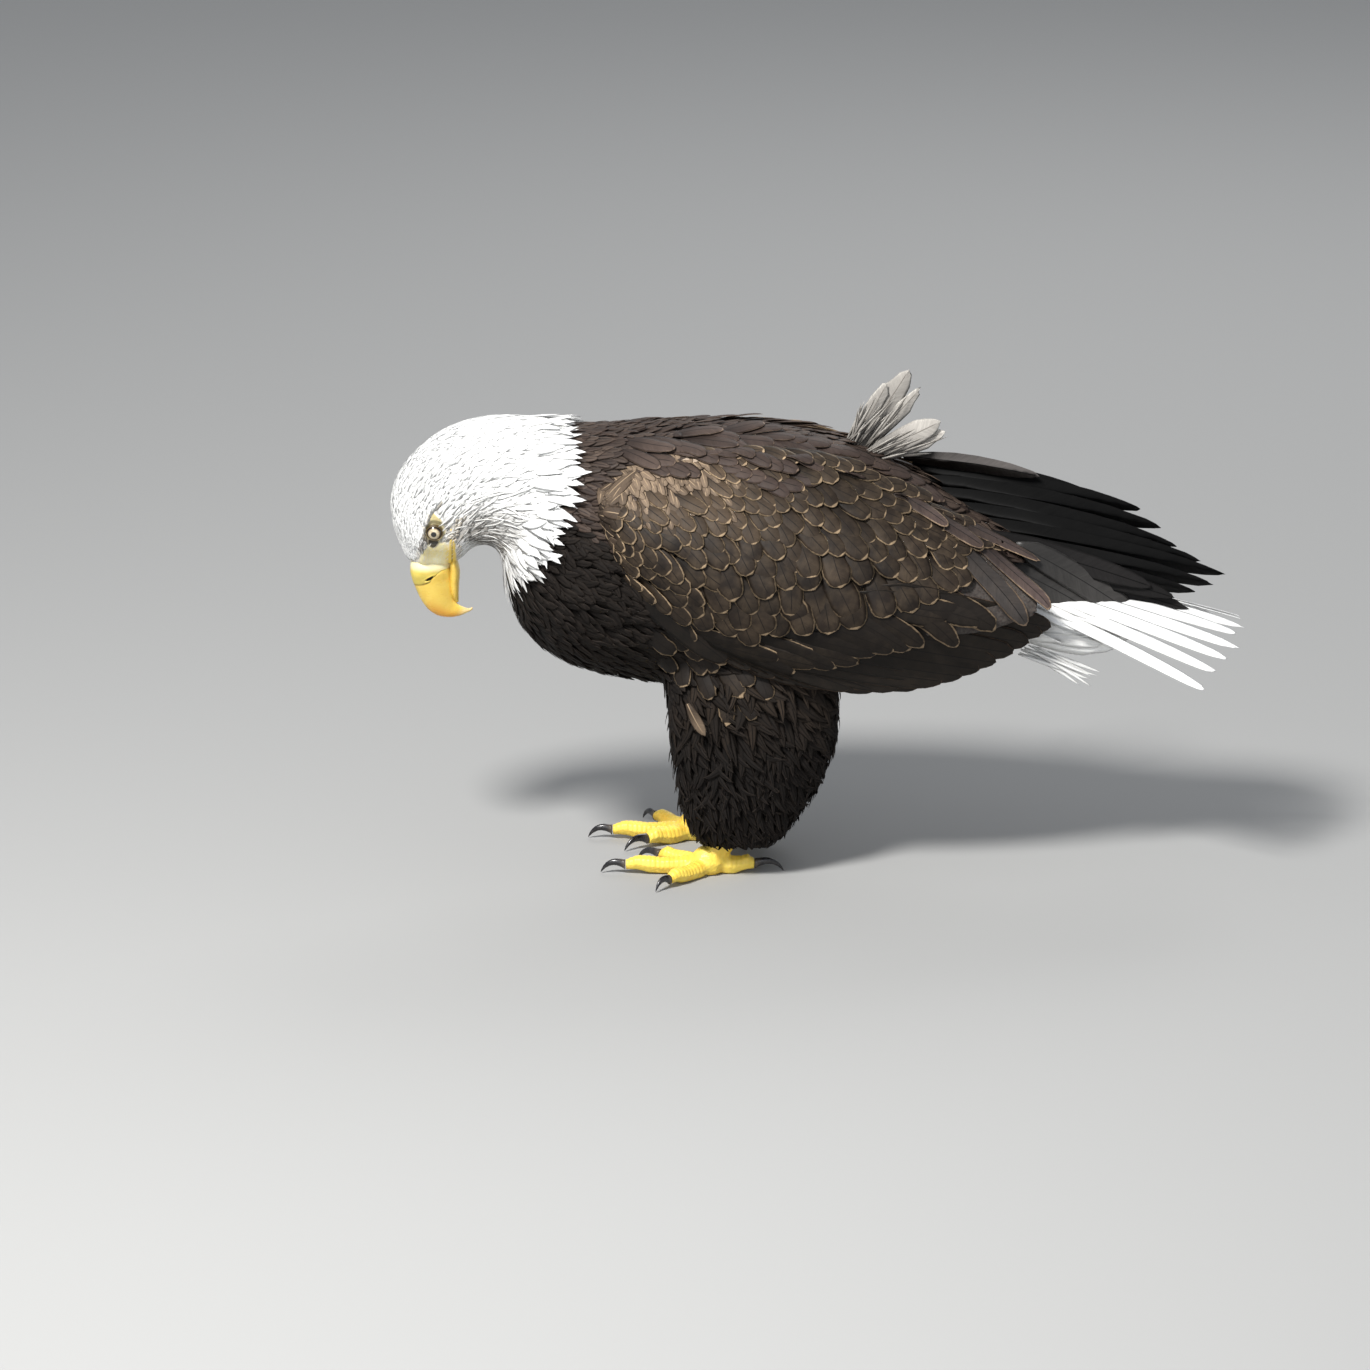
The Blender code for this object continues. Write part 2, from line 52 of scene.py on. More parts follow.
# Section lines through the bird from the face to the tail coverts, in mm: (back x, z), (belly x, z).
sections = (
    ((-353, 267), (-307, 267)),  # 0 face
    ((-360, 283), (-304, 271)),
    ((-366, 301), (-300, 276)),  # 2 eye
    ((-367, 330), (-294, 281)),
    ((-353, 358), (-286, 283)),  # 4 nape
    ((-322, 385), (-279, 282)),
    ((-281, 397), (-272, 276)),  # 6 neck
    ((-236, 395), (-268, 252)),
    ((-195, 391), (-258, 214)),  # 8 base of the neck
    ((-150, 391), (-223, 181)),
    ((-90, 392), (-166, 165)),  # 10 shoulders
    ((-30, 388), (-96, 158)),
    ((30, 374), (-22, 164)),  # 12 legs
    ((88, 344), (52, 178)),
    ((142, 308), (122, 186)),  # 14 rump
    ((195, 276), (182, 196)),
    ((232, 256), (226, 214)),  # 16 end of the tail coverts
)
# Side view of the folded wing in mm, from the wrist to the last secondary.
wingTop = ((-183, 361), (-150, 374), (-80, 378), (0, 371), (75, 343), (140, 306), (192, 274))
wingFoot = ((-188, 322), (-165, 268), (-108, 220), (-20, 184), (75, 177), (150, 194), (204, 228))


def unit(v):
    return v / np.maximum(np.linalg.norm(v, axis=-1, keepdims=True), 1e-12)


def table(x, places, values):
    return np.interp(x, places, values)


def smoothstep(low, high, x):
    x = np.clip((x - low) / (high - low), 0, 1)
    return x * x * (3 - 2 * x)


def curveThrough(rows, steps=12):  # Catmull-Rom, as a table of places and values
    rows = np.array(rows, float).reshape(len(rows), -1)
    places = np.linspace(0, len(rows) - 1, (len(rows) - 1) * steps + 1)
    first = np.minimum(places.astype(int), len(rows) - 2)
    part = (places - first)[:, None]
    a, b, c, d = (rows[np.clip(first + k, 0, len(rows) - 1)] for k in (-1, 0, 1, 2))
    values = 0.5 * (
        2 * b + (c - a) * part + (2 * a - 5 * b + 4 * c - d) * part**2 + (3 * b - a - 3 * c + d) * part**3
    )
    return places, values


def readCurve(curve, place):
    places, values = curve
    return np.stack([table(place, places, column) for column in values.T], -1)


sectionCurve = curveThrough(sections)
wingTopCurve = curveThrough(wingTop)
wingFootCurve = curveThrough(wingFoot)


def newObject(name, mesh, material=None):
    made = bpy.data.objects.new(name, mesh)
    bpy.context.scene.collection.objects.link(made)
    if material:
        mesh.materials.append(material)
    return made


def onlySelect(thing):
    bpy.ops.object.select_all(action="DESELECT")
    thing.select_set(True)
    bpy.context.view_layer.objects.active = thing


def applyAll(thing):
    onlySelect(thing)
    for step in list(thing.modifiers):
        bpy.ops.object.modifier_apply(modifier=step.name)


def mergedCopy(name, nodes):  # one closed mesh per node, in one new object
    bm = bmesh.new()
    for node in nodes:
        bm.from_mesh(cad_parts[node].data)
    bmesh.ops.remove_doubles(bm, verts=bm.verts, dist=0.02 * mm)
    mesh = bpy.data.meshes.new(name)
    bm.to_mesh(mesh)
    bm.free()
    return newObject(name, mesh)


def remeshed(thing, voxel):
    step = thing.modifiers.new("remesh", "REMESH")
    step.mode = "VOXEL"
    step.voxel_size = voxel
    applyAll(thing)


def pointsOf(mesh, what="co"):
    found = np.empty(len(mesh.vertices) * 3, np.float32)
    if what == "co":
        mesh.vertices.foreach_get("co", found)
    else:
        mesh.vertex_normals.foreach_get("vector", found)
    return found.reshape(-1, 3).astype(float)


def setPoints(mesh, points):
    mesh.vertices.foreach_set("co", points.astype(np.float32).ravel())
    mesh.update()


def relax(mesh, rounds, mask=1.0):  # evens a mesh out, each vertex halfway to the middle of its neighbours
    edges = np.empty(len(mesh.edges) * 2, int)
    mesh.edges.foreach_get("vertices", edges)
    a, b = edges.reshape(-1, 2).T
    count = np.bincount(np.concatenate([a, b]), minlength=len(mesh.vertices))[:, None]
    points = pointsOf(mesh)
    weight = 0.5 * (mask if np.isscalar(mask) else mask[:, None])
    for _ in range(rounds):
        total = np.zeros_like(points)
        for axis in range(3):
            total[:, axis] = np.bincount(a, points[b, axis], len(points))
            total[:, axis] += np.bincount(b, points[a, axis], len(points))
        points += (total / np.maximum(count, 1) - points) * weight
    setPoints(mesh, points)


def searchTree(mesh):  # a mesh's triangles and smooth normals, for finding places on it
    mesh.calc_loop_triangles()
    triangles = np.empty(len(mesh.loop_triangles) * 3, np.int32)
    mesh.loop_triangles.foreach_get("vertices", triangles)
    triangles = triangles.reshape(-1, 3)
    points = pointsOf(mesh)
    tree = BVHTree.FromPolygons(points.tolist(), triangles.tolist(), all_triangles=True)
    return {"tree": tree, "points": points, "triangles": triangles, "normals": pointsOf(mesh, "normal")}


def onSurface(surface, points):  # nearest points, with smooth normals
    near = surface["tree"].find_nearest
    found = [near(p) for p in points.tolist()]
    places = np.array([f[0] for f in found])
    corners = surface["triangles"][[f[2] for f in found]]
    a, b, c = (surface["points"][corners[:, k]] for k in range(3))
    whole = np.cross(b - a, c - a)
    area = np.maximum((whole**2).sum(1), 1e-20)
    wb = (np.cross(places - a, c - a) * whole).sum(1) / area
    wc = (np.cross(b - a, places - a) * whole).sum(1) / area
    weights = np.stack([1 - wb - wc, wb, wc], 1)
    normals = (surface["normals"][corners] * weights[..., None]).sum(1)
    return places, unit(normals)


def bodyPlace(points):  # how far along the sections a point is, which way round, and the way the coat lies
    rows = np.arange(-0.5, 17.01, 0.25)
    lines = readCurve(sectionCurve, rows) * mm
    back, belly = lines[:, :2], lines[:, 2:]
    for edge in (back, belly):  # two more lines before the face
        edge[:2] += np.array([[0.5], [0.25]]) * (edge[2] - edge[4])
    along = unit(back - belly)
    ahead = np.stack([along[:, 1], -along[:, 0]], 1)
    flat = points[:, [0, 2]]
    beyond = ((flat[:, None] - belly[None]) * ahead[None]).sum(-1)
    middle = (back + belly) / 2
    between = (beyond[:, :-1] >= 0) & (beyond[:, 1:] < 0)
    spread = np.linalg.norm(flat[:, None] - middle[None, :-1], axis=-1)
    first = np.argmin(np.where(between, spread, 10 + spread), 1)
    each = np.arange(len(points))
    here, there = beyond[each, first], beyond[each, first + 1]
    part = np.clip(here / np.maximum(here - there, 1e-9), 0, 1)
    place = rows[first] + 0.25 * part
    flow = ahead[first] * (1 - part[:, None]) + ahead[first + 1] * part[:, None]
    centre = middle[first] * (1 - part[:, None]) + middle[first + 1] * part[:, None]
    rise = ((flat - centre) * along[first]).sum(1)
    turn = np.arctan2(points[:, 1], rise)
    return place, turn, unit(np.stack([flow[:, 0], 0 * part, flow[:, 1]], 1))


def wingPlace(points):  # shares along the folded wing, from the wrist, and down it, from the top edge
    rows = np.linspace(0, 6, 73)
    top, foot = readCurve(wingTopCurve, rows) * mm, readCurve(wingFootCurve, rows) * mm
    down = foot - top
    across = unit(np.stack([-down[:, 1], down[:, 0]], 1))
    flat = points[:, [0, 2]]
    beyond = ((flat[:, None] - top[None]) * across[None]).sum(-1)
    spread = np.abs(beyond) + 1e3 * (np.abs(flat[:, None, 0] - top[None, :, 0]) > 0.12)
    first = np.argmin(spread, 1)
    fall = ((flat - top[first]) * down[first]).sum(1) / (down[first] ** 2).sum(1)
    step = np.gradient(top[:, 0])[first]
    return np.clip((rows[first] - beyond[np.arange(len(points)), first] / step / 12) / 6, -0.1, 1.1), fall


def wingSpot(u, v):
    top, foot = readCurve(wingTopCurve, 6 * u), readCurve(wingFootCurve, 6 * u)
    return (top + (foot - top) * v[:, None]) * mm


def treeOf(points):  # for finding the nearest of a set of points
    tree = KDTree(len(points))
    for index, point in enumerate(points.tolist()):
        tree.insert(point, index)
    tree.balance()
    return tree


def mark(mesh, name, values):
    layer = mesh.attributes.get(name) or mesh.attributes.new(name, "FLOAT", "POINT")
    layer.data.foreach_set("value", np.asarray(values, np.float32).ravel())


def declared(piece, slot, *nodes):  # it rides on the whole and stands for the nodes, which it hides; slot is not used
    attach(piece, "root")
    if nodes:
        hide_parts(*nodes)
    return piece


def keepLargest(mesh):  # drops the specks that a remesh leaves
    bm = bmesh.new()
    bm.from_mesh(mesh)
    left = set(bm.verts)
    parts = []
    while left:
        part = {left.pop()}
        rim = list(part)
        while rim:
            for edge in rim.pop().link_edges:
                for vertex in edge.verts:
                    if vertex in left:
                        left.remove(vertex)
                        part.add(vertex)
                        rim.append(vertex)
        parts.append(part)
    parts.sort(key=len)
    bmesh.ops.delete(bm, geom=[vertex for part in parts[:-1] for vertex in part], context="VERTS")
    bm.to_mesh(mesh)
    bm.free()


def pushed(mesh, amount):
    setPoints(mesh, pointsOf(mesh) + pointsOf(mesh, "normal") * amount)


def nodeIn(tree, kind, inputs=(), **settings):  # one shader node, with its inputs set or linked
    made = tree.nodes.new("ShaderNode" + kind)
    for key, value in settings.items():
        setattr(made, key, value)
    for key, value in dict(inputs).items():
        if isinstance(value, bpy.types.NodeSocket):
            tree.links.new(value, made.inputs[key])
        else:
            made.inputs[key].default_value = value
    return made


def calc(tree, operation, a, b=0.0, c=0.0):
    return nodeIn(tree, "Math", {0: a, 1: b, 2: c}, operation=operation).outputs[0]


def times(tree, a, b):
    return calc(tree, "MULTIPLY", a, b)


def between(tree, value, low, high, start=0.0, end=1.0):
    inputs = {"Value": value, "From Min": low, "From Max": high, "To Min": start, "To Max": end}
    return nodeIn(tree, "MapRange", inputs, interpolation_type="SMOOTHSTEP").outputs["Result"]


def blend(tree, share, a, b):
    return nodeIn(tree, "Mix", {0: share, 6: a, 7: b}, data_type="RGBA").outputs[2]


def noise(tree, place, scale, detail=3.0, rough=0.5):
    inputs = {"Vector": place, "Scale": scale, "Detail": detail, "Roughness": rough}
    return nodeIn(tree, "TexNoise", inputs).outputs["Fac"]


def combined(tree, x, y, z=0.0):
    return nodeIn(tree, "CombineXYZ", {0: x, 1: y, 2: z}).outputs[0]


def separated(tree, uvMap):  # a UV map's numbers
    return nodeIn(tree, "SeparateXYZ", {0: nodeIn(tree, "UVMap", uv_map=uvMap).outputs[0]}).outputs


def attribute(tree, name):
    return nodeIn(tree, "Attribute", attribute_name=name).outputs["Fac"]


def rgb(red, green, blue):  # from the screen's 0-255 numbers to a linear colour
    made = [((c / 255 + 0.055) / 1.055) ** 2.4 if c > 10 else c / 255 / 12.92 for c in (red, green, blue)]
    return (*made, 1.0)


def newGroup(name, inputs, outputs):
    tree = bpy.data.node_groups.new(name, "ShaderNodeTree")
    for title, kind in inputs:
        tree.interface.new_socket(title, in_out="INPUT", socket_type="NodeSocket" + kind)
    for title, kind in outputs:
        tree.interface.new_socket(title, in_out="OUTPUT", socket_type="NodeSocket" + kind)
    return tree, tree.nodes.new("NodeGroupInput"), tree.nodes.new("NodeGroupOutput")


vaneColours = ("Centre", "Margin", "Pale", "Grey", "Quill")


def vaneGroup():  # a feather's colours and its fine barbs
    inputs = [(name, "Color") for name in vaneColours]
    inputs += [(name, "Float") for name in ("Margin Width", "Margin Kept", "Variation")]
    outputs = [("Color", "Color"), ("Height", "Float"), ("Gloss", "Float")]
    tree, given, made = newGroup("feather vane", inputs, outputs)
    given = given.outputs
    size, edge, vane = (separated(tree, name) for name in ("size", "edge", "vane"))
    tint, tone, pale = (attribute(tree, name) for name in ("tint", "tone", "pale"))
    across = calc(tree, "ABSOLUTE", size[0])
    seed = times(tree, tint, 37.0)
    slant = calc(tree, "MULTIPLY_ADD", across, -0.9, size[1])  # barbs run from the quill towards the tip

    def streaks(along, sideways, rough=0.5):  # noise drawn out along the barbs
        ways = (times(tree, slant, along), times(tree, across, sideways))
        return noise(tree, combined(tree, *ways, seed), 1.0, 2.0, rough)

    barbs, locks = streaks(190.0, 14.0, 0.6), streaks(34.0, 5.0)
    patch = noise(tree, combined(tree, size[0], size[1], seed), 9.0, 3.0)
    reach = calc(tree, "MINIMUM", edge[0], times(tree, edge[1], 0.75))
    wobble = calc(tree, "MULTIPLY_ADD", locks, -0.012, calc(tree, "ADD", reach, 0.006))
    narrow = times(tree, given["Margin Width"], between(tree, vane[1], 0.35, 0.85, 0.3, 1.0))
    inside = calc(tree, "DIVIDE", wobble, calc(tree, "MAXIMUM", narrow, 0.0001))
    rim = calc(tree, "SUBTRACT", 1.0, between(tree, inside, 0.65, 1.25))
    rim = times(tree, rim, between(tree, patch, 0.25, 0.6, 0.55, 1.0))
    middling = blend(tree, 0.5, given["Centre"], given["Margin"])
    centre = blend(tree, between(tree, patch, 0.3, 0.75, 0.0, 0.22), given["Centre"], middling)
    faded = times(tree, pale, between(tree, vane[1], 0.1, 0.9, 0.35, 1.0))
    centre = blend(tree, faded, centre, given["Pale"])
    colour = blend(tree, rim, centre, given["Margin"])
    kept = calc(tree, "SUBTRACT", 1.0, times(tree, rim, given["Margin Kept"]))
    colour = blend(tree, times(tree, tone, kept), colour, given["Grey"])
    light = calc(tree, "MULTIPLY_ADD", tint, 0.34, 0.83)
    # barbs and locks vary the brightness at random; the last darkens each feather towards its root, painted
    # shade where the feathers above cover it
    shades = ((barbs, 0.25, 0.75, 0.86, 1.12), (locks, 0.3, 0.7, 0.9, 1.08), (vane[1], 0.2, 0.8, 0.5, 1.0))
    for value, *limits in shades:
        light = times(tree, light, between(tree, value, *limits))
    light = calc(tree, "MULTIPLY_ADD", calc(tree, "SUBTRACT", light, 1.0), given["Variation"], 1.0)
    shaded = nodeIn(tree, "VectorMath", {0: colour, "Scale": light}, operation="SCALE").outputs[0]
    quill = calc(tree, "SUBTRACT", 1.0, between(tree, across, 0.0022, 0.0052))
    quill = times(tree, quill, between(tree, edge[1], 0.01, 0.08))
    tree.links.new(blend(tree, quill, shaded, given["Quill"]), made.inputs["Color"])
    height = calc(tree, "ADD", times(tree, barbs, 0.5), times(tree, locks, 0.6))
    tree.links.new(calc(tree, "MULTIPLY_ADD", quill, 0.5, height), made.inputs["Height"])
    tree.links.new(between(tree, locks, 0.2, 0.8, 0.9, 1.1), made.inputs["Gloss"])
    return tree


vaneTree = vaneGroup()


def newMaterial(name):
    made = bpy.data.materials.new(name)
    made.use_nodes = True
    return made, made.node_tree, made.node_tree.nodes["Principled BSDF"].inputs


def setInputs(shader, **values):  # plain values for the shader's inputs, such as coatWeight
    for name, value in values.items():
        title = "".join(" " + letter if letter.isupper() else letter for letter in name).title()
        shader[title].default_value = value


def bumped(tree, shader, height, strength, distance):
    normal = nodeIn(tree, "Bump", {"Height": height, "Strength": strength, "Distance": distance}).outputs[0]
    tree.links.new(normal, shader["Normal"])


plumage = {  # the screen's colours of the centre, margin, pale and grey parts and quill
    "white": ((246, 246, 244), (251, 251, 250), (196, 170, 118), (104, 98, 91), (240, 239, 235)),
    "brown": ((41, 32, 29), (60, 48, 43), (88, 73, 63), (186, 168, 148), (32, 25, 23)),
    "breast": ((27, 24, 22), (42, 36, 32), (60, 50, 41), (15, 14, 13), (14, 12, 11)),
    "wing": ((28, 22, 18), (158, 136, 109), (96, 80, 64), (27, 23, 20), (20, 16, 13)),
    "bend": ((62, 51, 42), (110, 94, 78), (124, 107, 90), (27, 23, 20), (150, 130, 106)),
    "scapular": ((50, 41, 38), (104, 88, 76), (88, 74, 66), (34, 28, 26), (28, 22, 20)),
    "secondary": ((30, 26, 22), (74, 60, 48), (92, 76, 64), (22, 20, 18), (14, 12, 11)),
    "tertial": ((34, 29, 26), (142, 120, 98), (92, 76, 72), (58, 54, 52), (14, 12, 11)),
    "grey": ((60, 58, 56), (96, 92, 88), (150, 146, 142), (44, 42, 41), (14, 13, 12)),
    "black": ((8, 8, 9), (13, 13, 13), (46, 43, 41), (92, 88, 86), (4, 4, 4)),
    "lifted": ((150, 146, 140), (186, 182, 175), (176, 171, 164), (120, 116, 112), (112, 107, 101)),
}
plumageFinish = {  # margin in mm, share of it kept on grey parts, variation, roughness, shine, bump
    "white": (0.25, 0.0, 0.2, 0.7, 0.2, 0.1),
    "brown": (0.8, 0.0, 1.0, 0.6, 0.18, 0.5),
    "breast": (0.6, 0.0, 1.0, 0.7, 0.08, 0.5),
    "wing": (1.35, 0.85, 1.0, 0.58, 0.15, 0.5),
    "bend": (0.5, 0.0, 1.0, 0.6, 0.12, 0.5),
    "scapular": (0.9, 0.85, 1.0, 0.58, 0.16, 0.5),
    "secondary": (0.8, 0.85, 1.0, 0.55, 0.16, 0.5),
    "tertial": (1.3, 0.85, 1.0, 0.48, 0.25, 0.5),
    "grey": (0.9, 0.0, 1.0, 0.42, 0.35, 0.5),
    "black": (0.6, 0.0, 1.0, 0.6, 0.1, 0.5),
    "lifted": (1.4, 0.0, 1.0, 0.65, 0.15, 0.5),
}


def featherMaterial(name):
    margin, kept, variation, roughness, shine, bump = plumageFinish[name]
    made, tree, shader = newMaterial(name + " plumage")
    group = nodeIn(tree, "Group", node_tree=vaneTree)
    for title, colour in zip(vaneColours, plumage[name]):
        group.inputs[title].default_value = rgb(*colour)
    group.inputs["Margin Width"].default_value = margin * 0.01
    group.inputs["Margin Kept"].default_value = kept
    group.inputs["Variation"].default_value = variation
    tree.links.new(group.outputs["Color"], shader["Base Color"])
    tree.links.new(times(tree, group.outputs["Gloss"], roughness), shader["Roughness"])
    shader["Specular IOR Level"].default_value = shine
    if name == "white":  # light passes between white feathers, so the gaps between them stay pale
        setInputs(shader, subsurfaceWeight=0.2, subsurfaceScale=3 * mm, subsurfaceRadius=(1, 1, 1))
    bumped(tree, shader, group.outputs["Height"], bump, 0.25 * mm)
    return made


materials = {name: featherMaterial(name) for name in plumage}


def skinMaterial():  # one skin for the whole bird, coloured by the masks in its own attributes
    made, tree, shader = newMaterial("skin and foot scales")
    place = nodeIn(tree, "TexCoord").outputs["Object"]
    marks = ("white", "bare", "mouth", "lid", "leg", "groove", "gape")
    mask = {name: attribute(tree, name) for name in marks}
    broad, fine = noise(tree, place, 60.0, 4.0), noise(tree, place, 420.0, 3.0, 0.6)
    down = blend(tree, mask["white"], rgb(44, 37, 34), rgb(236, 235, 231))
    down = blend(tree, between(tree, fine, 0.3, 0.7, 0.0, 0.25), down, rgb(120, 112, 104))
    lores = blend(tree, between(tree, broad, 0.35, 0.65), rgb(240, 231, 190), rgb(230, 216, 158))
    lores = blend(tree, mask["gape"], lores, rgb(236, 200, 78))
    lores = blend(tree, between(tree, fine, 0.55, 0.75, 0.0, 0.25), lores, rgb(150, 128, 80))
    leg = blend(tree, between(tree, broad, 0.35, 0.7), rgb(242, 212, 88), rgb(236, 192, 66))
    leg = blend(tree, between(tree, fine, 0.5, 0.8, 0.0, 0.4), leg, rgb(250, 228, 130))
    # painted shade: the grooves between the foot's scales and plates are coloured brown
    leg = blend(tree, mask["groove"], leg, rgb(138, 92, 24))
    colour = blend(tree, mask["bare"], down, lores)
    colour = blend(tree, mask["leg"], colour, leg)
    # the lid mask: dark lid rims and tear patches, and the brow's painted shadow
    colour = blend(tree, mask["lid"], colour, rgb(34, 28, 24))
    colour = blend(tree, mask["mouth"], colour, rgb(104, 82, 34))
    tree.links.new(colour, shader["Base Color"])
    smooth = calc(tree, "MAXIMUM", mask["leg"], mask["bare"])
    smooth = calc(tree, "MULTIPLY_ADD", fine, 0.3, smooth)
    tree.links.new(between(tree, smooth, 0.1, 1.2, 0.75, 0.42), shader["Roughness"])
    setInputs(shader, subsurfaceWeight=0.05, subsurfaceScale=1.5 * mm)
    drawn = nodeIn(tree, "Mapping", {"Vector": place, "Scale": (1.6, 1.0, 1.0)}).outputs[0]
    folds = noise(tree, drawn, 260.0, 4.0, 0.6)
    bumped(tree, shader, calc(tree, "MULTIPLY_ADD", fine, 0.4, folds), 0.4, 0.5 * mm)
    return made


def seamShade(tree, rise, most):  # the dark line where the cere meets the horn, above the cutting edge
    seam = between(tree, attribute(tree, "seam"), 0.2, 0.0, 0.0, most)
    return times(tree, seam, between(tree, rise, -0.35, 0.1))


def hornMaterial():
    made, tree, shader = newMaterial("bill horn")
    place = nodeIn(tree, "TexCoord").outputs["Object"]
    along, rise = attribute(tree, "along"), attribute(tree, "rise")
    broad, fine = noise(tree, place, 70.0, 4.0), noise(tree, place, 300.0, 4.0, 0.6)
    colour = blend(tree, between(tree, broad, 0.3, 0.7), rgb(226, 196, 92), rgb(220, 182, 74))
    warm = times(tree, between(tree, along, 3.4, 6.0), between(tree, rise, -0.6, 0.7))
    colour = blend(tree, times(tree, warm, 0.8), colour, rgb(222, 148, 34))
    edge = between(tree, rise, -0.55, -0.95)
    colour = blend(tree, times(tree, edge, 0.5), colour, rgb(240, 212, 112))
    colour = blend(tree, between(tree, along, 7.2, 8.7), colour, rgb(206, 182, 124))
    lines = combined(tree, times(tree, along, 9.0), times(tree, rise, 1.4))
    growth = noise(tree, lines, 1.0, 4.0, 0.6)
    colour = blend(tree, between(tree, growth, 0.55, 0.75, 0.0, 0.3), colour, rgb(176, 122, 34))
    colour = blend(tree, between(tree, fine, 0.62, 0.75, 0.0, 0.3), colour, rgb(120, 84, 34))
    colour = blend(tree, seamShade(tree, rise, 0.6), colour, rgb(122, 96, 34))
    tree.links.new(colour, shader["Base Color"])
    tree.links.new(between(tree, calc(tree, "ADD", fine, growth), 0.6, 1.4, 0.24, 0.4), shader["Roughness"])
    setInputs(shader, subsurfaceWeight=0.12, subsurfaceScale=2.5 * mm, coatWeight=0.25, coatRoughness=0.2)
    bumped(tree, shader, calc(tree, "MULTIPLY_ADD", fine, 0.3, growth), 0.35, 0.35 * mm)
    return made


def cereMaterial():
    made, tree, shader = newMaterial("cere")
    place = nodeIn(tree, "TexCoord").outputs["Object"]
    broad, fine = noise(tree, place, 90.0, 4.0), noise(tree, place, 380.0, 4.0, 0.65)
    colour = blend(tree, between(tree, broad, 0.3, 0.7), rgb(216, 194, 92), rgb(198, 176, 80))
    colour = blend(tree, between(tree, fine, 0.55, 0.75, 0.0, 0.4), colour, rgb(150, 128, 50))
    colour = blend(tree, seamShade(tree, attribute(tree, "rise"), 0.5), colour, rgb(122, 98, 36))
    root = between(tree, attribute(tree, "along"), 1.0, 0.55, 0.0, 0.95)
    colour = blend(tree, root, colour, rgb(236, 226, 182))
    # painted shade inside the nostril's hollow
    colour = blend(tree, between(tree, attribute(tree, "hollow"), 0.1, 0.75), colour, rgb(26, 18, 10))
    tree.links.new(colour, shader["Base Color"])
    tree.links.new(between(tree, fine, 0.3, 0.7, 0.36, 0.5), shader["Roughness"])
    setInputs(shader, subsurfaceWeight=0.12, subsurfaceScale=2 * mm)
    bumped(tree, shader, calc(tree, "MULTIPLY_ADD", fine, 0.6, broad), 0.5, 0.5 * mm)
    return made


def clawMaterial():
    made, tree, shader = newMaterial("claw horn")
    place = nodeIn(tree, "TexCoord").outputs["Object"]
    along = attribute(tree, "along")
    streak = noise(tree, place, 260.0, 4.0, 0.6)
    colour = blend(tree, between(tree, streak, 0.35, 0.7), rgb(24, 23, 25), rgb(46, 43, 44))
    colour = blend(tree, between(tree, along, 0.22, 0.0, 0.0, 0.55), colour, rgb(96, 84, 68))
    tree.links.new(colour, shader["Base Color"])
    tree.links.new(between(tree, streak, 0.3, 0.7, 0.2, 0.36), shader["Roughness"])
    setInputs(shader, coatWeight=0.3, coatRoughness=0.15)
    bumped(tree, shader, streak, 0.3, 0.3 * mm)
    return made


def eyeMaterial():
    made, tree, shader = newMaterial("eye")
    place = nodeIn(tree, "TexCoord").outputs["Object"]
    off = attribute(tree, "off")
    rays = noise(tree, place, 900.0, 3.0, 0.6)
    iris = blend(tree, between(tree, rays, 0.3, 0.7), rgb(204, 192, 164), rgb(170, 152, 120))
    iris = blend(tree, between(tree, off, 4.1, 5.3), iris, rgb(98, 76, 50))
    colour = blend(tree, between(tree, off, 2.0, 2.7), rgb(8, 8, 8), iris)
    colour = blend(tree, between(tree, off, 5.0, 5.6), colour, rgb(24, 19, 16))
    tree.links.new(colour, shader["Base Color"])
    tree.links.new(between(tree, rays, 0.3, 0.7, 0.16, 0.26), shader["Roughness"])
    setInputs(shader, coatWeight=1.0, coatRoughness=0.03)
    return made


materials.update(skin=skinMaterial(), horn=hornMaterial(), cere=cereMaterial())
materials.update(claw=clawMaterial(), eye=eyeMaterial())


guideLooks = {"voxel": 3 * mm, "closing": 4 * mm}
skinLooks = {"voxel": 4.8 * mm, "thinnest": 0.3, "faceCuts": 6}

print("guide surface")
fleshNodes = ["head", "neck", "trunk", "rump", "thigh_left", "thigh_right", "wing_left", "wing_right"]
guideBody = mergedCopy("guide", fleshNodes)
remeshed(guideBody, guideLooks["voxel"])
pushed(guideBody.data, guideLooks["closing"])  # out and in again, which closes the clefts between the solids
remeshed(guideBody, guideLooks["voxel"])
keepLargest(guideBody.data)
relax(guideBody.data, 3)
pushed(guideBody.data, -guideLooks["closing"])
relax(guideBody.data, 6)
guide = searchTree(guideBody.data)
print("guide", len(guideBody.data.vertices))


def flesh():  # the flesh solids as one tree, with the node of each triangle
    points, triangles, owners = [], [], []
    start = 0
    for index, node in enumerate(fleshNodes):
        part = searchTree(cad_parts[node].data)
        points.append(part["points"])
        triangles.append(part["triangles"] + start)
        owners += [index] * len(part["triangles"])
        start += len(part["points"])
    points, triangles = np.concatenate(points), np.concatenate(triangles)
    tree = BVHTree.FromPolygons(points.tolist(), triangles.tolist(), all_triangles=True)
    return tree, np.array(fleshNodes)[owners]


fleshTree, fleshOwners = flesh()


def labelOf(points):  # the flesh node nearest to each point
    return fleshOwners[[fleshTree.find_nearest(p)[2] for p in points.tolist()]]


def middleOf(node):
    low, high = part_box(node)
    return (np.array(low) + np.array(high)) / 2


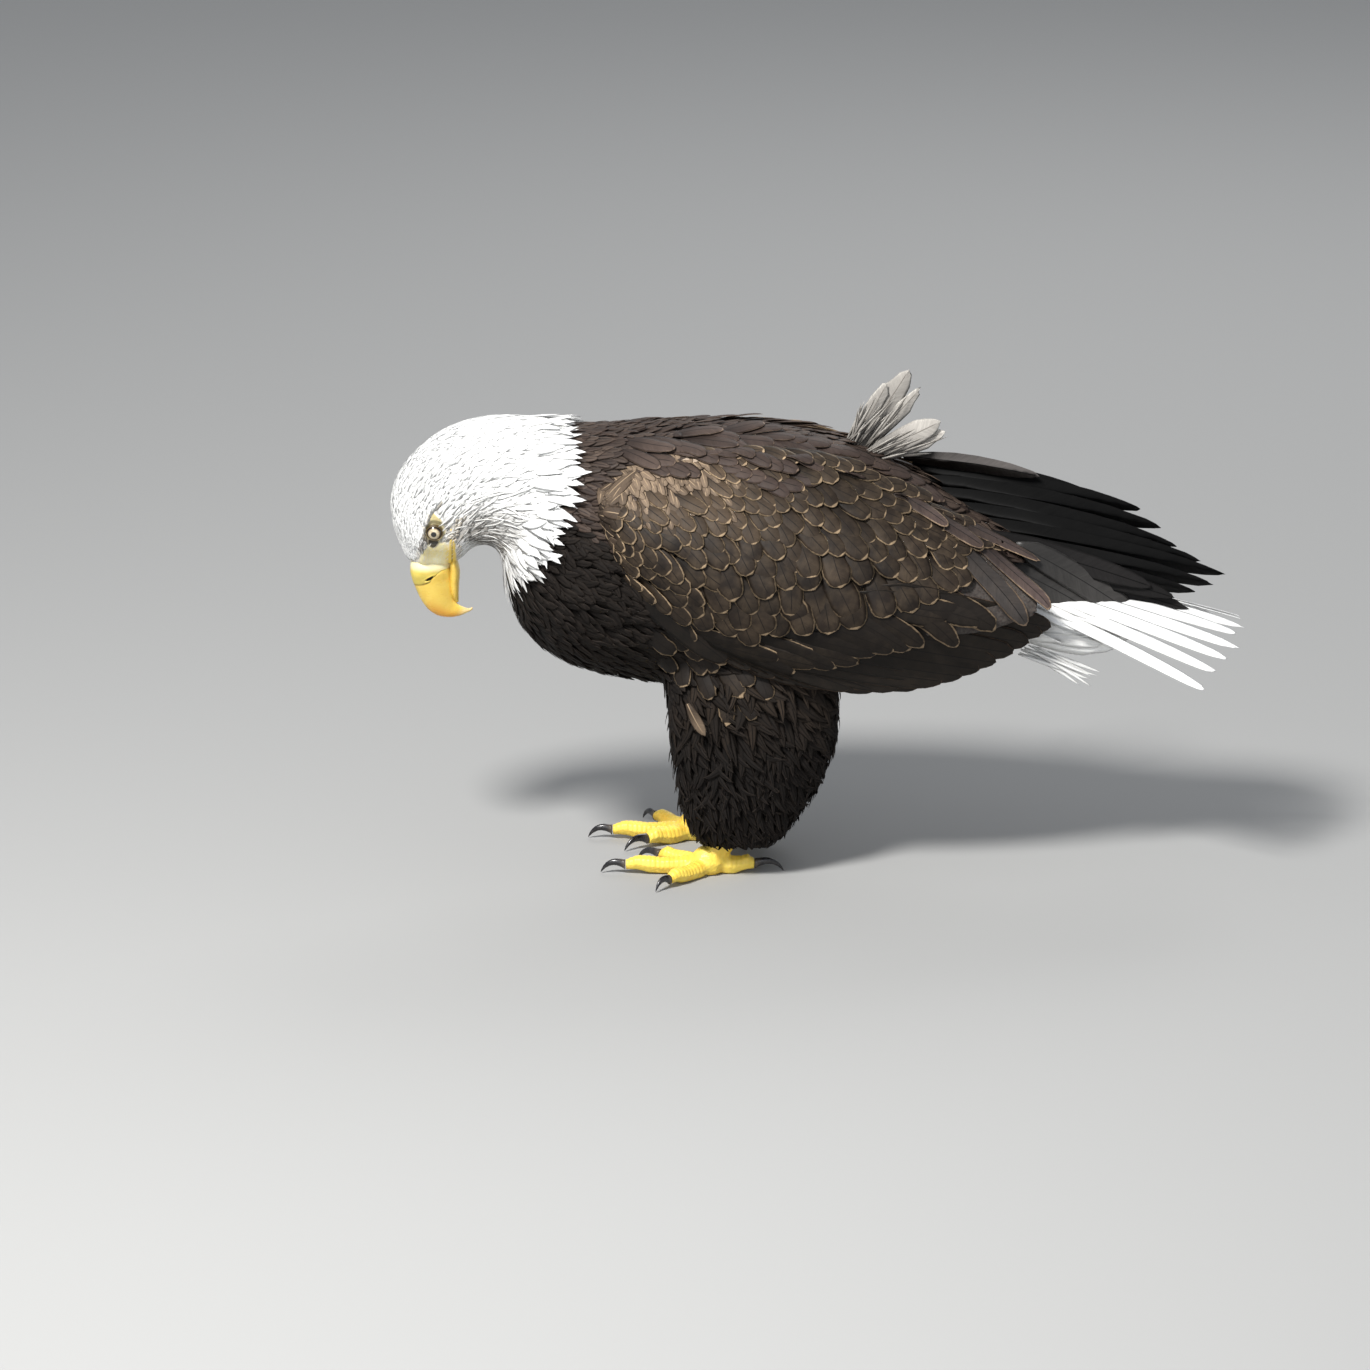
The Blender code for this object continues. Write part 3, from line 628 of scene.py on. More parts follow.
# The face from the side, with places as (x, z) in mm.
eye = {"radius": 9.4 * mm, "opening": (6.7 * mm, 6.1 * mm), "lid": 1.1 * mm, "shift": (1.6, 0, 0.8)}
eye["ring"] = (6.7, 6.3)  # the dark rim of the lids
for side in sides:
    eye[side] = middleOf("eye_" + side) + np.array(eye["shift"]) * mm
brow = {"start": (-338.5, 270), "end": (-337.5, 316), "height": 2.6, "breadth": 3.2}
brow["shadow"] = ((-337, 296), (-341.5, 280))  # the painted shadow of the brow: a dark line in front of the eye, on the feathers
brow["line"] = ((-337.5, 295), (-343, 276))  # and the same painted shadow on the skin
gape = {"start": (-314.6, 262), "end": (-313.4, 308), "breadth": 2.6, "bare": (4.6, 2.8)}
lores = {"middle": (-326, 271), "long": 14.5, "high": 23, "lean": 0.2, "level": 290}
tear = {"ahead": 1.2, "below": 10.4, "long": 5.2, "high": 5.4, "lean": 0.25}
wedge = {"start": (-329, 305), "end": (-326.5, 325), "breadth": 7.4, "edge": 1.4}
faceEnd = 3.6  # the markings of the face stop at this place along the body


def fromSegment(points, start, end):  # side view: distance from a line, and the share along it
    flat = points[:, [0, 2]] / mm
    start, end = np.array(start, float), np.array(end, float)
    run = end - start
    share = ((flat - start) @ run) / (run @ run)
    clipped = np.clip(share, 0, 1)
    away = flat - start - clipped[:, None] * run
    return np.linalg.norm(away, axis=1), share, away[:, 0]


def browLift(points):  # how far the ridge over the eye stands out
    away, share, _ = fromSegment(points, brow["start"], brow["end"])
    ends = smoothstep(-0.25, 0.15, share) * (1 - smoothstep(0.8, 1.15, share))
    ridge = brow["height"] * mm * np.exp(-((away / brow["breadth"]) ** 2))
    return ridge * ends * (np.abs(points[:, 1]) > 8 * mm)


def fromEye(points):  # side view: how far behind and above the eye's middle, in mm
    return (points[:, [0, 2]] / mm - eye["left"][[0, 2]] / mm).T


def tearPatch(points):  # the dark skin in front of each eye's lower lid
    x, z = fromEye(points)
    long = (x + tear["ahead"]) / (tear["long"] + tear["lean"] * (z + 10))
    return 1 - smoothstep(0.7, 1.15, np.hypot(long, (z + tear["below"]) / tear["high"]))


def rearPatch(points):  # the tan wedge behind each eye
    rear, share, _ = fromSegment(points, wedge["start"], wedge["end"])
    return 1 - smoothstep(0, 1, (rear - wedge["breadth"] * (1 - share)) / wedge["edge"])


def bareFace(points):  # 1 on the bare skin of lores, lids and gape
    x, z = (points[:, [0, 2]] / mm).T
    long = (x - lores["middle"][0] + lores["lean"] * (lores["level"] - z)) / lores["long"]
    patch = 1 - smoothstep(0.8, 1.1, np.hypot(long, (z - lores["middle"][1]) / lores["high"]))
    strip, share, _ = fromSegment(points, gape["start"], gape["end"])
    wide, taper = gape["bare"]
    strip = 1 - smoothstep(0.7, 1.15, strip / (wide - taper * np.clip(share, 0, 1)))
    ring = 1 - smoothstep(8.4, 10.4, np.hypot(*fromEye(points)))
    sideways = smoothstep(6, 11, np.abs(points[:, 1]) / mm)
    return np.max([patch, strip, rearPatch(points), tearPatch(points), ring], 0) * sideways * (x < -300)


place = bodyPlace(guide["points"])[0]
lifted = guide["points"] + guide["normals"] * (browLift(guide["points"]) * (place < 4))[:, None]
setPoints(guideBody.data, lifted)
guide = searchTree(guideBody.data)


def coatDepth(points, labels):  # from the outer surface of the coat to the skin
    place = bodyPlace(points)[0]
    depth = table(place, (0, 1, 3, 4.4, 6, 8, 10, 16), (0.3, 0.5, 1.0, 1.5, 2.6, 5, 7, 6))
    depth[np.char.startswith(labels, "wing")] = 4.5
    depth[np.char.startswith(labels, "thigh")] = 6
    return depth * mm * (1 - 0.9 * bareFace(points) * (place < faceEnd))


def refined(mesh, chosen, cuts):  # splits the chosen faces into smaller ones
    bm = bmesh.new()
    bm.from_mesh(mesh)
    centres = np.array([face.calc_center_median() for face in bm.faces])
    picked = [face for face, use in zip(bm.faces, chosen(centres)) if use]
    edges = list({edge for face in picked for edge in face.edges})
    bmesh.ops.subdivide_edges(bm, edges=edges, cuts=cuts, use_grid_fill=True)
    bmesh.ops.triangulate(bm, faces=[face for face in bm.faces if len(face.verts) > 4])
    bm.to_mesh(mesh)
    bm.free()


def atFace(points):
    x, z = points[:, 0], points[:, 2]
    return (z < 0.325) & (np.abs(x + 0.3225) < 0.0265) & (z > 0.255)


print("skin")
skin = newObject("skin", guideBody.data.copy())
remeshed(skin, skinLooks["voxel"])
keepLargest(skin.data)
relax(skin.data, 2)
points, normals = pointsOf(skin.data), pointsOf(skin.data, "normal")
thick = np.array([
    (guide["tree"].ray_cast(p, n, 0.08)[3] or 0.08)
    for p, n in zip((points - normals * 0.5 * mm).tolist(), (-normals).tolist())
])
depth = np.minimum(coatDepth(points, labelOf(points)), skinLooks["thinnest"] * thick)
setPoints(skin.data, points - normals * depth[:, None])
relax(skin.data, 2)
refined(skin.data, atFace, skinLooks["faceCuts"])
points = pointsOf(skin.data)
surfacePlaces, normals = onSurface(guide, points)
face = atFace(points)
depth = coatDepth(surfacePlaces, np.full(len(points), "head"))
setPoints(skin.data, np.where(face[:, None], surfacePlaces - normals * depth[:, None], points))
relax(skin.data, 12, mask=face.astype(float))
print("skin vertices", len(skin.data.vertices))


def shapeLids(points, side, near):  # the lids over each eyeball, with the socket behind them
    outward = unit(np.array([-0.03, -sides[side], -0.12]))
    lengthways = unit(np.cross(outward, (0, 0, 1.0)))
    upright = np.cross(lengthways, outward)
    rel = points - eye[side]
    a, b, c = rel @ lengthways, rel @ upright, rel @ outward
    rim = np.hypot(a / eye["opening"][0], b / eye["opening"][1])
    ball = np.sqrt(np.maximum(eye["radius"] ** 2 - np.hypot(a, b) ** 2, 0))
    lid = ball + eye["lid"] * (1 - 0.35 * np.exp(-(((rim - 1.35) / 0.12) ** 2)))
    share = 1 - smoothstep(1.3, 2.1, rim)
    target = c * (1 - share) + np.maximum(lid, c * 0.6) * share
    socket = ball - 1.6 * mm
    inner = np.where(rim < 0.93, socket, socket + (lid - socket) * smoothstep(0.93, 1, rim))
    target = np.where(rim < 1, inner, target)
    here = near & (rim < 2.1)
    return np.where(here[:, None], points + (target - c)[:, None] * outward, points)


def shapeGape(points, sign, near):  # the soft lips along the gape and the line between them
    _, share, across = fromSegment(points, gape["start"], gape["end"])
    run = smoothstep(-0.1, 0.05, share) * (1 - smoothstep(0.93, 1.06, share)) * near
    share, z = np.clip(share, 0, 1), points[:, 2] / mm
    wide = gape["breadth"] * (0.8 - 0.35 * share)
    waves = 0.12 * np.sin(z * 1.3) + 0.08 * np.sin(z * 3.1)
    lips = np.exp(-(((np.abs(across) - wide) / 1.7) ** 2)) * (0.45 + waves) * (1 - 0.85 * share)
    groove = -0.55 * np.exp(-((across / 0.5) ** 2)) * (1 - 0.6 * share)
    return points + np.array([0, -sign, 0]) * ((lips + groove) * run * mm)[:, None]


def shapeFace(points):
    for side, sign in sides.items():
        near = (points[:, 1] * sign < 0) & atFace(points)
        points = shapeGape(shapeLids(points, side, near), sign, near)
    return points


setPoints(skin.data, shapeFace(pointsOf(skin.data)))


toeTable = {  # heading in degrees from straight ahead, length, thickness and the claw's length in mm
    "inner": (-34, 50, 9.4, 29),
    "middle": (0, 72, 9.0, 26),
    "outer": (52, 55, 8.6, 23),
    "hind": (184, 40, 9.2, 31),
}
footLooks = {  # in mm apart from the voxel and the height, which are in metres
    "voxel": 0.92 * mm,
    "height": 11 * mm,
    "scute": 4.1,
    "step": 0.55,
    "grain": 2.3,
    "grainDepth": 0.42,
}
footMiddle = {side: np.array([*middleOf("foot_" + side)[:2], footLooks["height"]]) for side in sides}


def legNodes(side):
    return [name + "_" + side for name in ("shank", "foot", *("toe_" + toe for toe in toeTable))]


def toeHeading(side, toe):
    turn = math.radians(toeTable[toe][0])
    return np.array([-math.cos(turn), -math.sin(turn) * sides[side], 0.0])


def smallScales(points):  # the grooves round the small scales, each scale about a point picked by chance
    grid = {}
    cell = footLooks["grain"] * mm
    for index in chance.permutation(len(points)):
        grid.setdefault(tuple(np.floor(points[index] / cell).astype(int)), index)
    tree = treeOf(points[list(grid.values())])
    pairs = [tree.find_n(p, 2) for p in points.tolist()]
    gaps = np.array([far[2] - near[2] for near, far in pairs]) / mm
    return -footLooks["grainDepth"] * (1 - smoothstep(0.0, 0.75, gaps))


def scutes(points, normals, side):  # the plates over toes and shank: their relief, and where they are
    rel = (points - footMiddle[side]) / mm
    best, along = np.full(len(points), 1e3), np.zeros(len(points))
    for toe, (_, length, _, _) in toeTable.items():
        heading = toeHeading(side, toe)
        s = rel @ heading
        away = np.linalg.norm(rel - np.clip(s, 8, length)[:, None] * heading, axis=1)
        mine = away < best
        best, along = np.where(mine, away, best), np.where(mine, s, along)
    up = smoothstep(-0.4, 0.05, normals[:, 2]) * smoothstep(13, 19, along) * (rel[:, 2] < 16)
    climb = rel @ unit(np.array([30.0, 0, 38]))
    shank = smoothstep(12, 17, climb) * smoothstep(-0.1, 0.5, -normals[:, 0])
    phase = np.where(up > 0.02, along / footLooks["scute"], climb / (1.25 * footLooks["scute"]))
    part = phase - np.floor(phase)
    grooves = np.maximum(np.exp(-((part / 0.13) ** 2)), np.exp(-(((1 - part) / 0.07) ** 2)))
    plate = -footLooks["step"] * grooves
    plate += 0.25 * footLooks["step"] * np.sin(math.pi * part)
    return plate, np.maximum(up, shank)


def buildFoot(side):  # shank, palm and toes in one, with plates along the tops and small scales elsewhere
    thing = mergedCopy("foot", legNodes(side))
    pushed(thing.data, 0.7 * mm)
    remeshed(thing, footLooks["voxel"])
    keepLargest(thing.data)
    relax(thing.data, 4)
    pushed(thing.data, -0.7 * mm)
    relax(thing.data, 3)
    points, normals = pointsOf(thing.data), pointsOf(thing.data, "normal")
    plate, mask = scutes(points, normals, side)
    height = plate * mask + smallScales(points) * (1 - mask)
    height *= smoothstep(0.4, 2.5, points[:, 2] / mm) * 0.9 + 0.1
    moved = points + normals * (height * mm)[:, None]
    moved[:, 2] = np.maximum(moved[:, 2], 0.05 * mm)
    setPoints(thing.data, moved)
    # how deep each groove is, which the skin's material paints as shade
    mark(thing.data, "groove", np.clip(-1.8 * height / footLooks["step"], 0, 1))
    return thing


print("feet")
footTrees = []
for side in sides:
    foot = buildFoot(side)
    step = skin.modifiers.new("foot", "BOOLEAN")
    step.operation, step.solver, step.object = "UNION", "EXACT", foot
    applyAll(skin)
    footTrees.append(searchTree(foot.data))
    bpy.data.objects.remove(foot)
print("skin with feet", len(skin.data.vertices))


# Outlines as (share of the length, share of the half width), from the root to the tip.
outlines = {
    "face": ((0, 0.35), (0.4, 1), (0.72, 0.85), (0.9, 0.5), (1, 0.06)),
    "lance": ((0, 0.4), (0.25, 0.85), (0.5, 1), (0.68, 0.85), (0.82, 0.58), (0.92, 0.32), (1, 0.02)),
    "leaf": ((0, 0.35), (0.25, 0.8), (0.5, 1), (0.7, 0.96), (0.84, 0.76), (0.94, 0.46), (1, 0.08)),
    "flight": (
        (0, 0.2), (0.06, 0.5), (0.14, 0.85), (0.28, 1), (0.42, 1), (0.56, 1), (0.7, 0.98), (0.8, 0.93),
        (0.88, 0.82), (0.93, 0.68), (0.965, 0.5), (0.988, 0.28), (1, 0.05),
    ),
    "covert": (
        (0, 0.35), (0.2, 0.7), (0.4, 0.95), (0.56, 1), (0.7, 1), (0.8, 0.95),
        (0.88, 0.83), (0.94, 0.65), (0.975, 0.44), (1, 0.14),
    ),
    "blade": (
        (0, 0.35), (0.08, 0.6), (0.2, 0.85), (0.36, 1), (0.52, 1), (0.66, 0.94), (0.78, 0.82),
        (0.87, 0.64), (0.94, 0.44), (0.98, 0.22), (1, 0.04),
    ),
}


def lay(roots, headings, lengths, outline, depth, lift, hug=1.0, bend=0.0, surface=None):
    # follows the coat's surface from each root, sinking the root by depth and raising the tip by lift
    surface = surface or guide
    places, normals = onSurface(surface, roots)
    headings = unit(headings - normals * (headings * normals).sum(1, keepdims=True))
    spots, ups, runs = [], [], []
    levels = [level for level, _ in outlines[outline]]
    bend = np.broadcast_to(bend, len(roots))
    for level, after in zip(levels, levels[1:] + [None]):
        rise = smoothstep(-0.15, 1.1, np.full(len(roots), level))
        height = -depth + (depth + lift) * rise
        spots.append(places + normals * np.broadcast_to(height, len(roots))[:, None])
        ups.append(normals)
        runs.append(headings)
        if after is None:
            break
        step = (after - level) * lengths
        ahead = places + headings * step[:, None]
        found, under = onSurface(surface, ahead)
        near = np.clip(1 - (np.linalg.norm(found - ahead, axis=1) - 0.5 * step) / (0.5 * step), 0, 1) * hug
        places = ahead + (found - ahead) * near[:, None]
        normals = unit(normals + (under - normals) * near[:, None])
        turned = headings + np.cross(normals, headings) * (bend * (after - level))[:, None]
        headings = unit(turned - normals * (turned * normals).sum(1, keepdims=True))
    bunch = {"spots": np.stack(spots, 1), "ups": np.stack(ups, 1), "runs": np.stack(runs, 1)}
    return {**bunch, "lengths": lengths, "outline": outline}


bakePatch = 0.003  # the side of each feather's patch on the bake's map


def vanes(bunch, widths, across=4, camber=0.16, ragged=0.05, roots=None, looks=None, ridge=0.0):
    # turns each laid feather into a thin closed solid: a cambered upper side over a flat one
    spots, ups, runs = bunch["spots"], bunch["ups"], bunch["runs"]
    count, levels = spots.shape[:2]
    outline = np.array(outlines[bunch["outline"]])
    side = unit(np.cross(ups, runs))
    share = np.linspace(-1, 1, across + 1)
    half = widths[:, None] * outline[None, :, 1]
    rag = 1 + ragged * chance.normal(size=(count, levels, 2)) * (outline[None, :, 0, None] > 0.3)
    slip = ragged * 0.35 * chance.normal(size=(count, levels, 2)) * (outline[None, :, 0, None] > 0.3)
    reach = np.where(share[None, None] < 0, rag[..., :1], rag[..., 1:])
    along = np.where(share[None, None] < 0, slip[..., :1], slip[..., 1:]) * np.abs(share) ** 2
    out = half[..., None] * share * reach
    dome = camber * half[..., None] * (1 - share**2) + ridge * (share == 0) * (half[..., None] > ridge)
    points = spots[:, :, None] + side[:, :, None] * out[..., None] + ups[:, :, None] * dome[..., None]
    points = points + runs[:, :, None] * (along * bunch["lengths"][:, None, None])[..., None]
    grid = np.arange(count * levels * (across + 1)).reshape(count, levels, across + 1)
    a, b, c, d = grid[:, :-1, :-1], grid[:, 1:, :-1], grid[:, 1:, 1:], grid[:, :-1, 1:]
    upper = np.stack([a, b, c, d], -1).reshape(count, -1)
    rims = [grid[:, :-1, 0], grid[:, :-1, -1], grid[:, 1:, -1], grid[:, 1:, 0]]
    lower = np.stack(rims, -1).reshape(count, -1)
    caps = np.concatenate([grid[:, 0], grid[:, -1, ::-1]], 1)
    vane = np.stack(np.broadcast_arrays((share + 1) / 2, outline[:, :1]), -1)
    along = (outline[:, 0] * bunch["lengths"][:, None])[..., None] + 0 * out
    size = 10 * np.stack([half[:, :, None] * share, along], -1)
    rest = bunch["lengths"][:, None, None] - along
    edge = 10 * np.stack([half[:, :, None] * (1 - np.abs(share)), rest], -1)
    values = {"tint": chance.random(count), "tone": 0.0, "pale": 0.0, **(looks or {})}
    each = levels * (across + 1)
    return {
        "points": points.reshape(-1, 3),
        "quads": np.concatenate([upper, lower], 1).reshape(-1, 4),
        "caps": caps.reshape(-1, across + 1),
        "vane": np.broadcast_to(vane, (count, levels, across + 1, 2)).reshape(-1, 2),
        "size": size.reshape(-1, 2),  # across and along, in tenths of a metre
        "edge": edge.reshape(-1, 2),  # to the nearer side and to the tip, the same way
        "looks": {key: np.repeat(np.broadcast_to(value, count), each) for key, value in values.items()},
        "bake": (roots[:, None, None] + bakePatch * (vane[None] - (0.5, 0))).reshape(-1, 2),
    }


def coatPiece(name, bunches, material, slot, *nodes):  # joins bunches of vanes into one piece
    points = np.concatenate([bunch["points"] for bunch in bunches])
    starts = np.cumsum([0] + [len(bunch["points"]) for bunch in bunches])
    loops, sizes = [], []
    for start, bunch in zip(starts, bunches):
        for kind in ("quads", "caps"):
            loops.append((bunch[kind] + start).ravel())
            sizes.append(np.full(len(bunch[kind]), bunch[kind].shape[1]))
    loops, sizes = np.concatenate(loops), np.concatenate(sizes)
    mesh = bpy.data.meshes.new(name)
    mesh.vertices.add(len(points))
    mesh.loops.add(len(loops))
    mesh.polygons.add(len(sizes))
    mesh.vertices.foreach_set("co", points.astype(np.float32).ravel())
    mesh.loops.foreach_set("vertex_index", loops.astype(np.int32))
    mesh.polygons.foreach_set("loop_start", np.concatenate([[0], np.cumsum(sizes)[:-1]]).astype(np.int32))
    mesh.update(calc_edges=True)
    for key, layer in (("vane", "vane"), ("size", "size"), ("edge", "edge"), ("bake", "OFBake")):
        both = np.concatenate([bunch[key] for bunch in bunches])
        mesh.uv_layers.new(name=layer).uv.foreach_set("vector", both[loops].astype(np.float32).ravel())
    for key in ("tint", "tone", "pale"):
        mark(mesh, key, np.concatenate([bunch["looks"][key] for bunch in bunches]))
    mesh.shade_smooth()
    declared(newObject(name, mesh, material), slot, *nodes)
    print(name, "triangles", int((sizes - 2).sum()))


def mapOfGuide():  # for each triangle of the guide: centre, part, place along the body and turn round it
    centre = guide["points"][guide["triangles"]].mean(1)
    place, turn, _ = bodyPlace(guide["points"])
    first = guide["triangles"][:, 0]
    return {"centre": centre, "label": labelOf(centre), "place": place[first], "turn": np.abs(turn[first])}


mostTries = 40000


def scatter(use, gap):  # evenly spread places on the guide surface, at a distance that varies
    corners, gap = guide["points"][guide["triangles"]][use], gap[use] * mm
    area = np.linalg.norm(np.cross(corners[:, 1] - corners[:, 0], corners[:, 2] - corners[:, 0]), axis=1) / 2
    weight = area / gap**2
    wanted = int(min(mostTries, 5 * weight.sum()))
    picked = chance.choice(len(area), wanted, p=weight / weight.sum())
    r, t = np.sqrt(chance.random(wanted)), chance.random(wanted)
    mix = np.stack([1 - r, r * (1 - t), r * t], 1)
    points = (corners[picked] * mix[..., None]).sum(1)
    reach = gap[picked]
    tree = treeOf(points)
    free = np.ones(wanted, bool)
    for index in range(wanted):
        if free[index]:
            for _, other, _ in tree.find_range(points[index], reach[index]):
                if other > index:
                    free[other] = False
    return points[free]


def straight(roots, tips, ups, outline, bow, drift):
    # feathers held off the body: from root to tip, bowed towards the side they face and drifting sideways
    levels = np.array(outlines[outline])[None, :, :1]
    run = unit(tips - roots)
    ups = unit(ups - run * (ups * run).sum(1, keepdims=True))
    side = np.cross(ups, run)
    bow, drift = (np.broadcast_to(value, len(roots))[:, None, None] for value in (bow, drift))
    arch = np.sin(math.pi * levels)
    spots = roots[:, None] + (tips - roots)[:, None] * levels
    spots = spots + ups[:, None] * bow * arch + side[:, None] * drift * levels**2
    runs = unit(np.gradient(spots, axis=1))
    lifted = ups[:, None] - runs * (ups[:, None] * runs).sum(-1, keepdims=True)
    lengths = np.linalg.norm(tips - roots, axis=1)
    return {"spots": spots, "ups": unit(lifted), "runs": runs, "lengths": lengths, "outline": outline}


def jitter(count, amount):
    return 1 + amount * chance.normal(size=count).clip(-2, 2)


def nudge(count, amount):
    return amount * chance.normal(size=count)


def swung(headings, normals, angle):  # turns headings in the surface
    return headings * np.cos(angle)[:, None] + np.cross(normals, headings) * np.sin(angle)[:, None]


over = mapOfGuide()
isWing = np.char.startswith(over["label"], "wing")
isThigh = np.char.startswith(over["label"], "thigh")
isBody = ~isWing & ~isThigh


def collar(turn):  # place along the body where the white ends, by the turn from the back round to the throat
    return table(np.degrees(turn), (0, 60, 100, 130, 155, 180), (7.35, 7.65, 7.75, 7.4, 6.55, 6.05))


def bodyRoots(points, first, last):  # the body's unwrap for the bake: along it and round it
    place, turn, _ = bodyPlace(points)
    return np.stack([(place - first) / (last - first), turn / (2 * math.pi) + 0.5], 1)


def throat(points):  # 1 in the shaded hollow under the head, where the feathers are greyed: partly their own grey bases, partly painted shade
    place, turn, _ = bodyPlace(points)
    under = smoothstep(88, 138, np.degrees(np.abs(turn)))
    return under * smoothstep(1.7, 2.9, place) * (1 - 0.5 * smoothstep(5, 7, place))


def growBody(points, sizes, outline, wander, looks, span, sink=0, hug=1.0, **shape):
    # feathers that lie along the body, with sizes in mm read from tables of places
    places, _, flow = bodyPlace(points)
    normals = onSurface(guide, points)[1]
    heading = swung(flow, normals, wander * chance.normal(size=len(points)))
    names = ("length", "width", "depth", "lift")
    length, width, depth, lift = (table(places, sizes["place"], sizes[name]) for name in names)
    lengths = length * jitter(len(points), 0.12) * mm
    widths = width * jitter(len(points), 0.1) * mm
    raised = (lift * jitter(len(points), 0.5) - sink) * mm
    bend = nudge(len(points), 0.35)
    bunch = lay(points, heading, lengths, outline, depth * mm, raised, hug, bend)
    return vanes(bunch, widths, roots=bodyRoots(points, *span), looks=looks, **shape)


def eyeDistance(points):
    return np.min([np.linalg.norm(points - eye[side], axis=1) for side in sides], 0)


billRoot = 0.2685  # no feathers grow below this height on the face


def headCoat(material):
    bare = bareFace(over["centre"]) > 0.2 + 0.5 * chance.random(len(over["centre"]))
    bare = bare & (over["place"] < faceEnd)
    use = isBody & (over["place"] < 4.7) & ~bare & (over["centre"][:, 2] > billRoot)
    gap = table(over["place"], (0, 1, 2, 3, 4.4), (1.15, 1.3, 1.6, 2.0, 2.5))
    points = scatter(use, gap * table(eyeDistance(over["centre"]), (0.01, 0.03), (0.75, 1)))
    normals = onSurface(guide, points)[1]
    place, _, flow = bodyPlace(points)
    # grey under the head, partly painted shade
    grey = 0.85 * throat(points) + 0.05 * chance.random(len(points))
    near = eyeDistance(points)
    around = table(near, (0.011, 0.022), (0.6, 0))
    for side, sign in sides.items():  # the feathers lean away from the eye
        away = points - eye[side]
        away -= normals * (away * normals).sum(1, keepdims=True)
        mine = (points[:, 1] * sign < 0)[:, None]
        flow = np.where(mine, unit(flow + unit(away) * around[:, None]), flow)
    heading = swung(flow, normals, nudge(len(points), 0.1))
    size = table(near, (0.010, 0.026), (0.6, 1))
    places = (0, 0.8, 1.8, 3, 4.4)
    lengths = table(place, places, (7, 9, 12, 17, 23)) * size * jitter(len(points), 0.14) * mm
    widths = table(place, places, (1.3, 1.5, 1.9, 2.6, 3.3)) * (0.65 + 0.35 * size) * mm
    depth = table(place, (0, 1, 3, 4.4), (0.35, 0.6, 1.1, 1.6)) * mm
    lift = table(place, (0, 1, 3, 4.4), (0.1, 0.12, 0.2, 0.3)) * jitter(len(points), 0.3) * mm
    bunch = lay(points, heading, lengths, "face", depth, lift, bend=nudge(len(points), 0.2))
    steps = [bunch["spots"][:, k] for k in range(4)]
    # the brow's painted shadow on the feathers, joined to their grey
    shadow = [0.8 * (1 - smoothstep(0.5, 2.2, fromSegment(spot, *brow["shadow"])[0])) for spot in steps]
    tan = np.max([np.maximum(0.5 * bareFace(spot), rearPatch(spot)) for spot in steps], 0) * (place < faceEnd)
    dark = np.max([tearPatch(spot) for spot in steps[2:]] + shadow[1:3], 0) * (place < faceEnd)
    grey = np.maximum(grey, dark)
    clear = np.max([np.maximum(rearPatch(spot), tearPatch(spot)) for spot in steps[:3]], 0)
    stay = ~((clear > 0.5) & (place < faceEnd) & (np.abs(points[:, 1]) > 8 * mm))
    bunch = {key: value if key == "outline" else value[stay] for key, value in bunch.items()}
    tints = {"tone": grey[stay], "pale": tan[stay]}
    bunch = vanes(bunch, widths[stay], 2, 0.02, 0.03, bodyRoots(points[stay], 0, 5), tints)
    coatPiece("coat_head", [bunch, loreBristles()], material, "white_plumage")


def loreBristles():  # fine bristles over the bare lores
    bare = bareFace(over["centre"]) * (over["place"] < faceEnd) > 0.3
    spots = scatter(isBody & bare & (over["centre"][:, 2] > billRoot - 2 * mm), np.full(len(bare), 2.1))
    spots = spots[(rearPatch(spots) < 0.3) & (tearPatch(spots) < 0.3) & (eyeDistance(spots) > 10 * mm)]
    normals = onSurface(guide, spots)[1]
    flow = swung(bodyPlace(spots)[2], normals, nudge(len(spots), 0.25))
    fine = lay(spots, flow, 4.2 * jitter(len(spots), 0.3) * mm, "face", 0.25 * mm, 0.12 * mm)
    tints = {"tone": 0.1 * chance.random(len(spots)), "pale": 0.6 * chance.random(len(spots))}
    return vanes(fine, 0.22 * jitter(len(spots), 0.3) * mm, 2, 0.05, 0.03, bodyRoots(spots, 0, 5), tints)


def neckCoat(material):
    use = isBody & (over["place"] > 4.2) & (over["place"] < collar(over["turn"]) - 0.6)
    points = scatter(use, table(over["place"], (4.3, 6, 7.6), (2.4, 3.0, 3.8)))
    # grey under the head, partly painted shade
    tone = 0.95 * throat(points) * (0.6 + 0.4 * chance.random(len(points)))
    tone += 0.04 * chance.random(len(points))
    sizes = {
        "place": (4.3, 5.5, 6.5, 7.5),
        "length": (20, 30, 38, 42),
        "width": (2.4, 3.0, 3.8, 4.7),
        "depth": (1.6, 2.0, 2.8, 3.4),
        "lift": (0.25, 0.4, 0.8, 1.7),
    }
    fine = {"camber": 0.04, "ragged": 0.03}
    inner = growBody(points, sizes, "lance", 0.11, {"tone": tone}, (4, 9), **fine)
    low = isBody & (over["place"] > 2.9) & (over["place"] < 6.3) & (over["turn"] > math.radians(92))
    points = scatter(low & (over["centre"][:, 2] > 0.2), np.full(len(low), 5.2))
    # grey under the head, partly painted shade
    tone = throat(points) * chance.random(len(points)) ** 0.7
    sizes = {"place": (3, 4, 6.5), "length": (20, 30, 46), "width": (0.7, 0.9, 1.2)}
    sizes |= {"depth": (0.5, 0.5, 1), "lift": (0.5, 0.8, 1.4)}
    strands = growBody(points, sizes, "lance", 0.16, {"tone": tone}, (4, 9), across=2)
    coatPiece("coat_neck", [inner, strands, hoodEnds(fine)], material, "white_plumage")


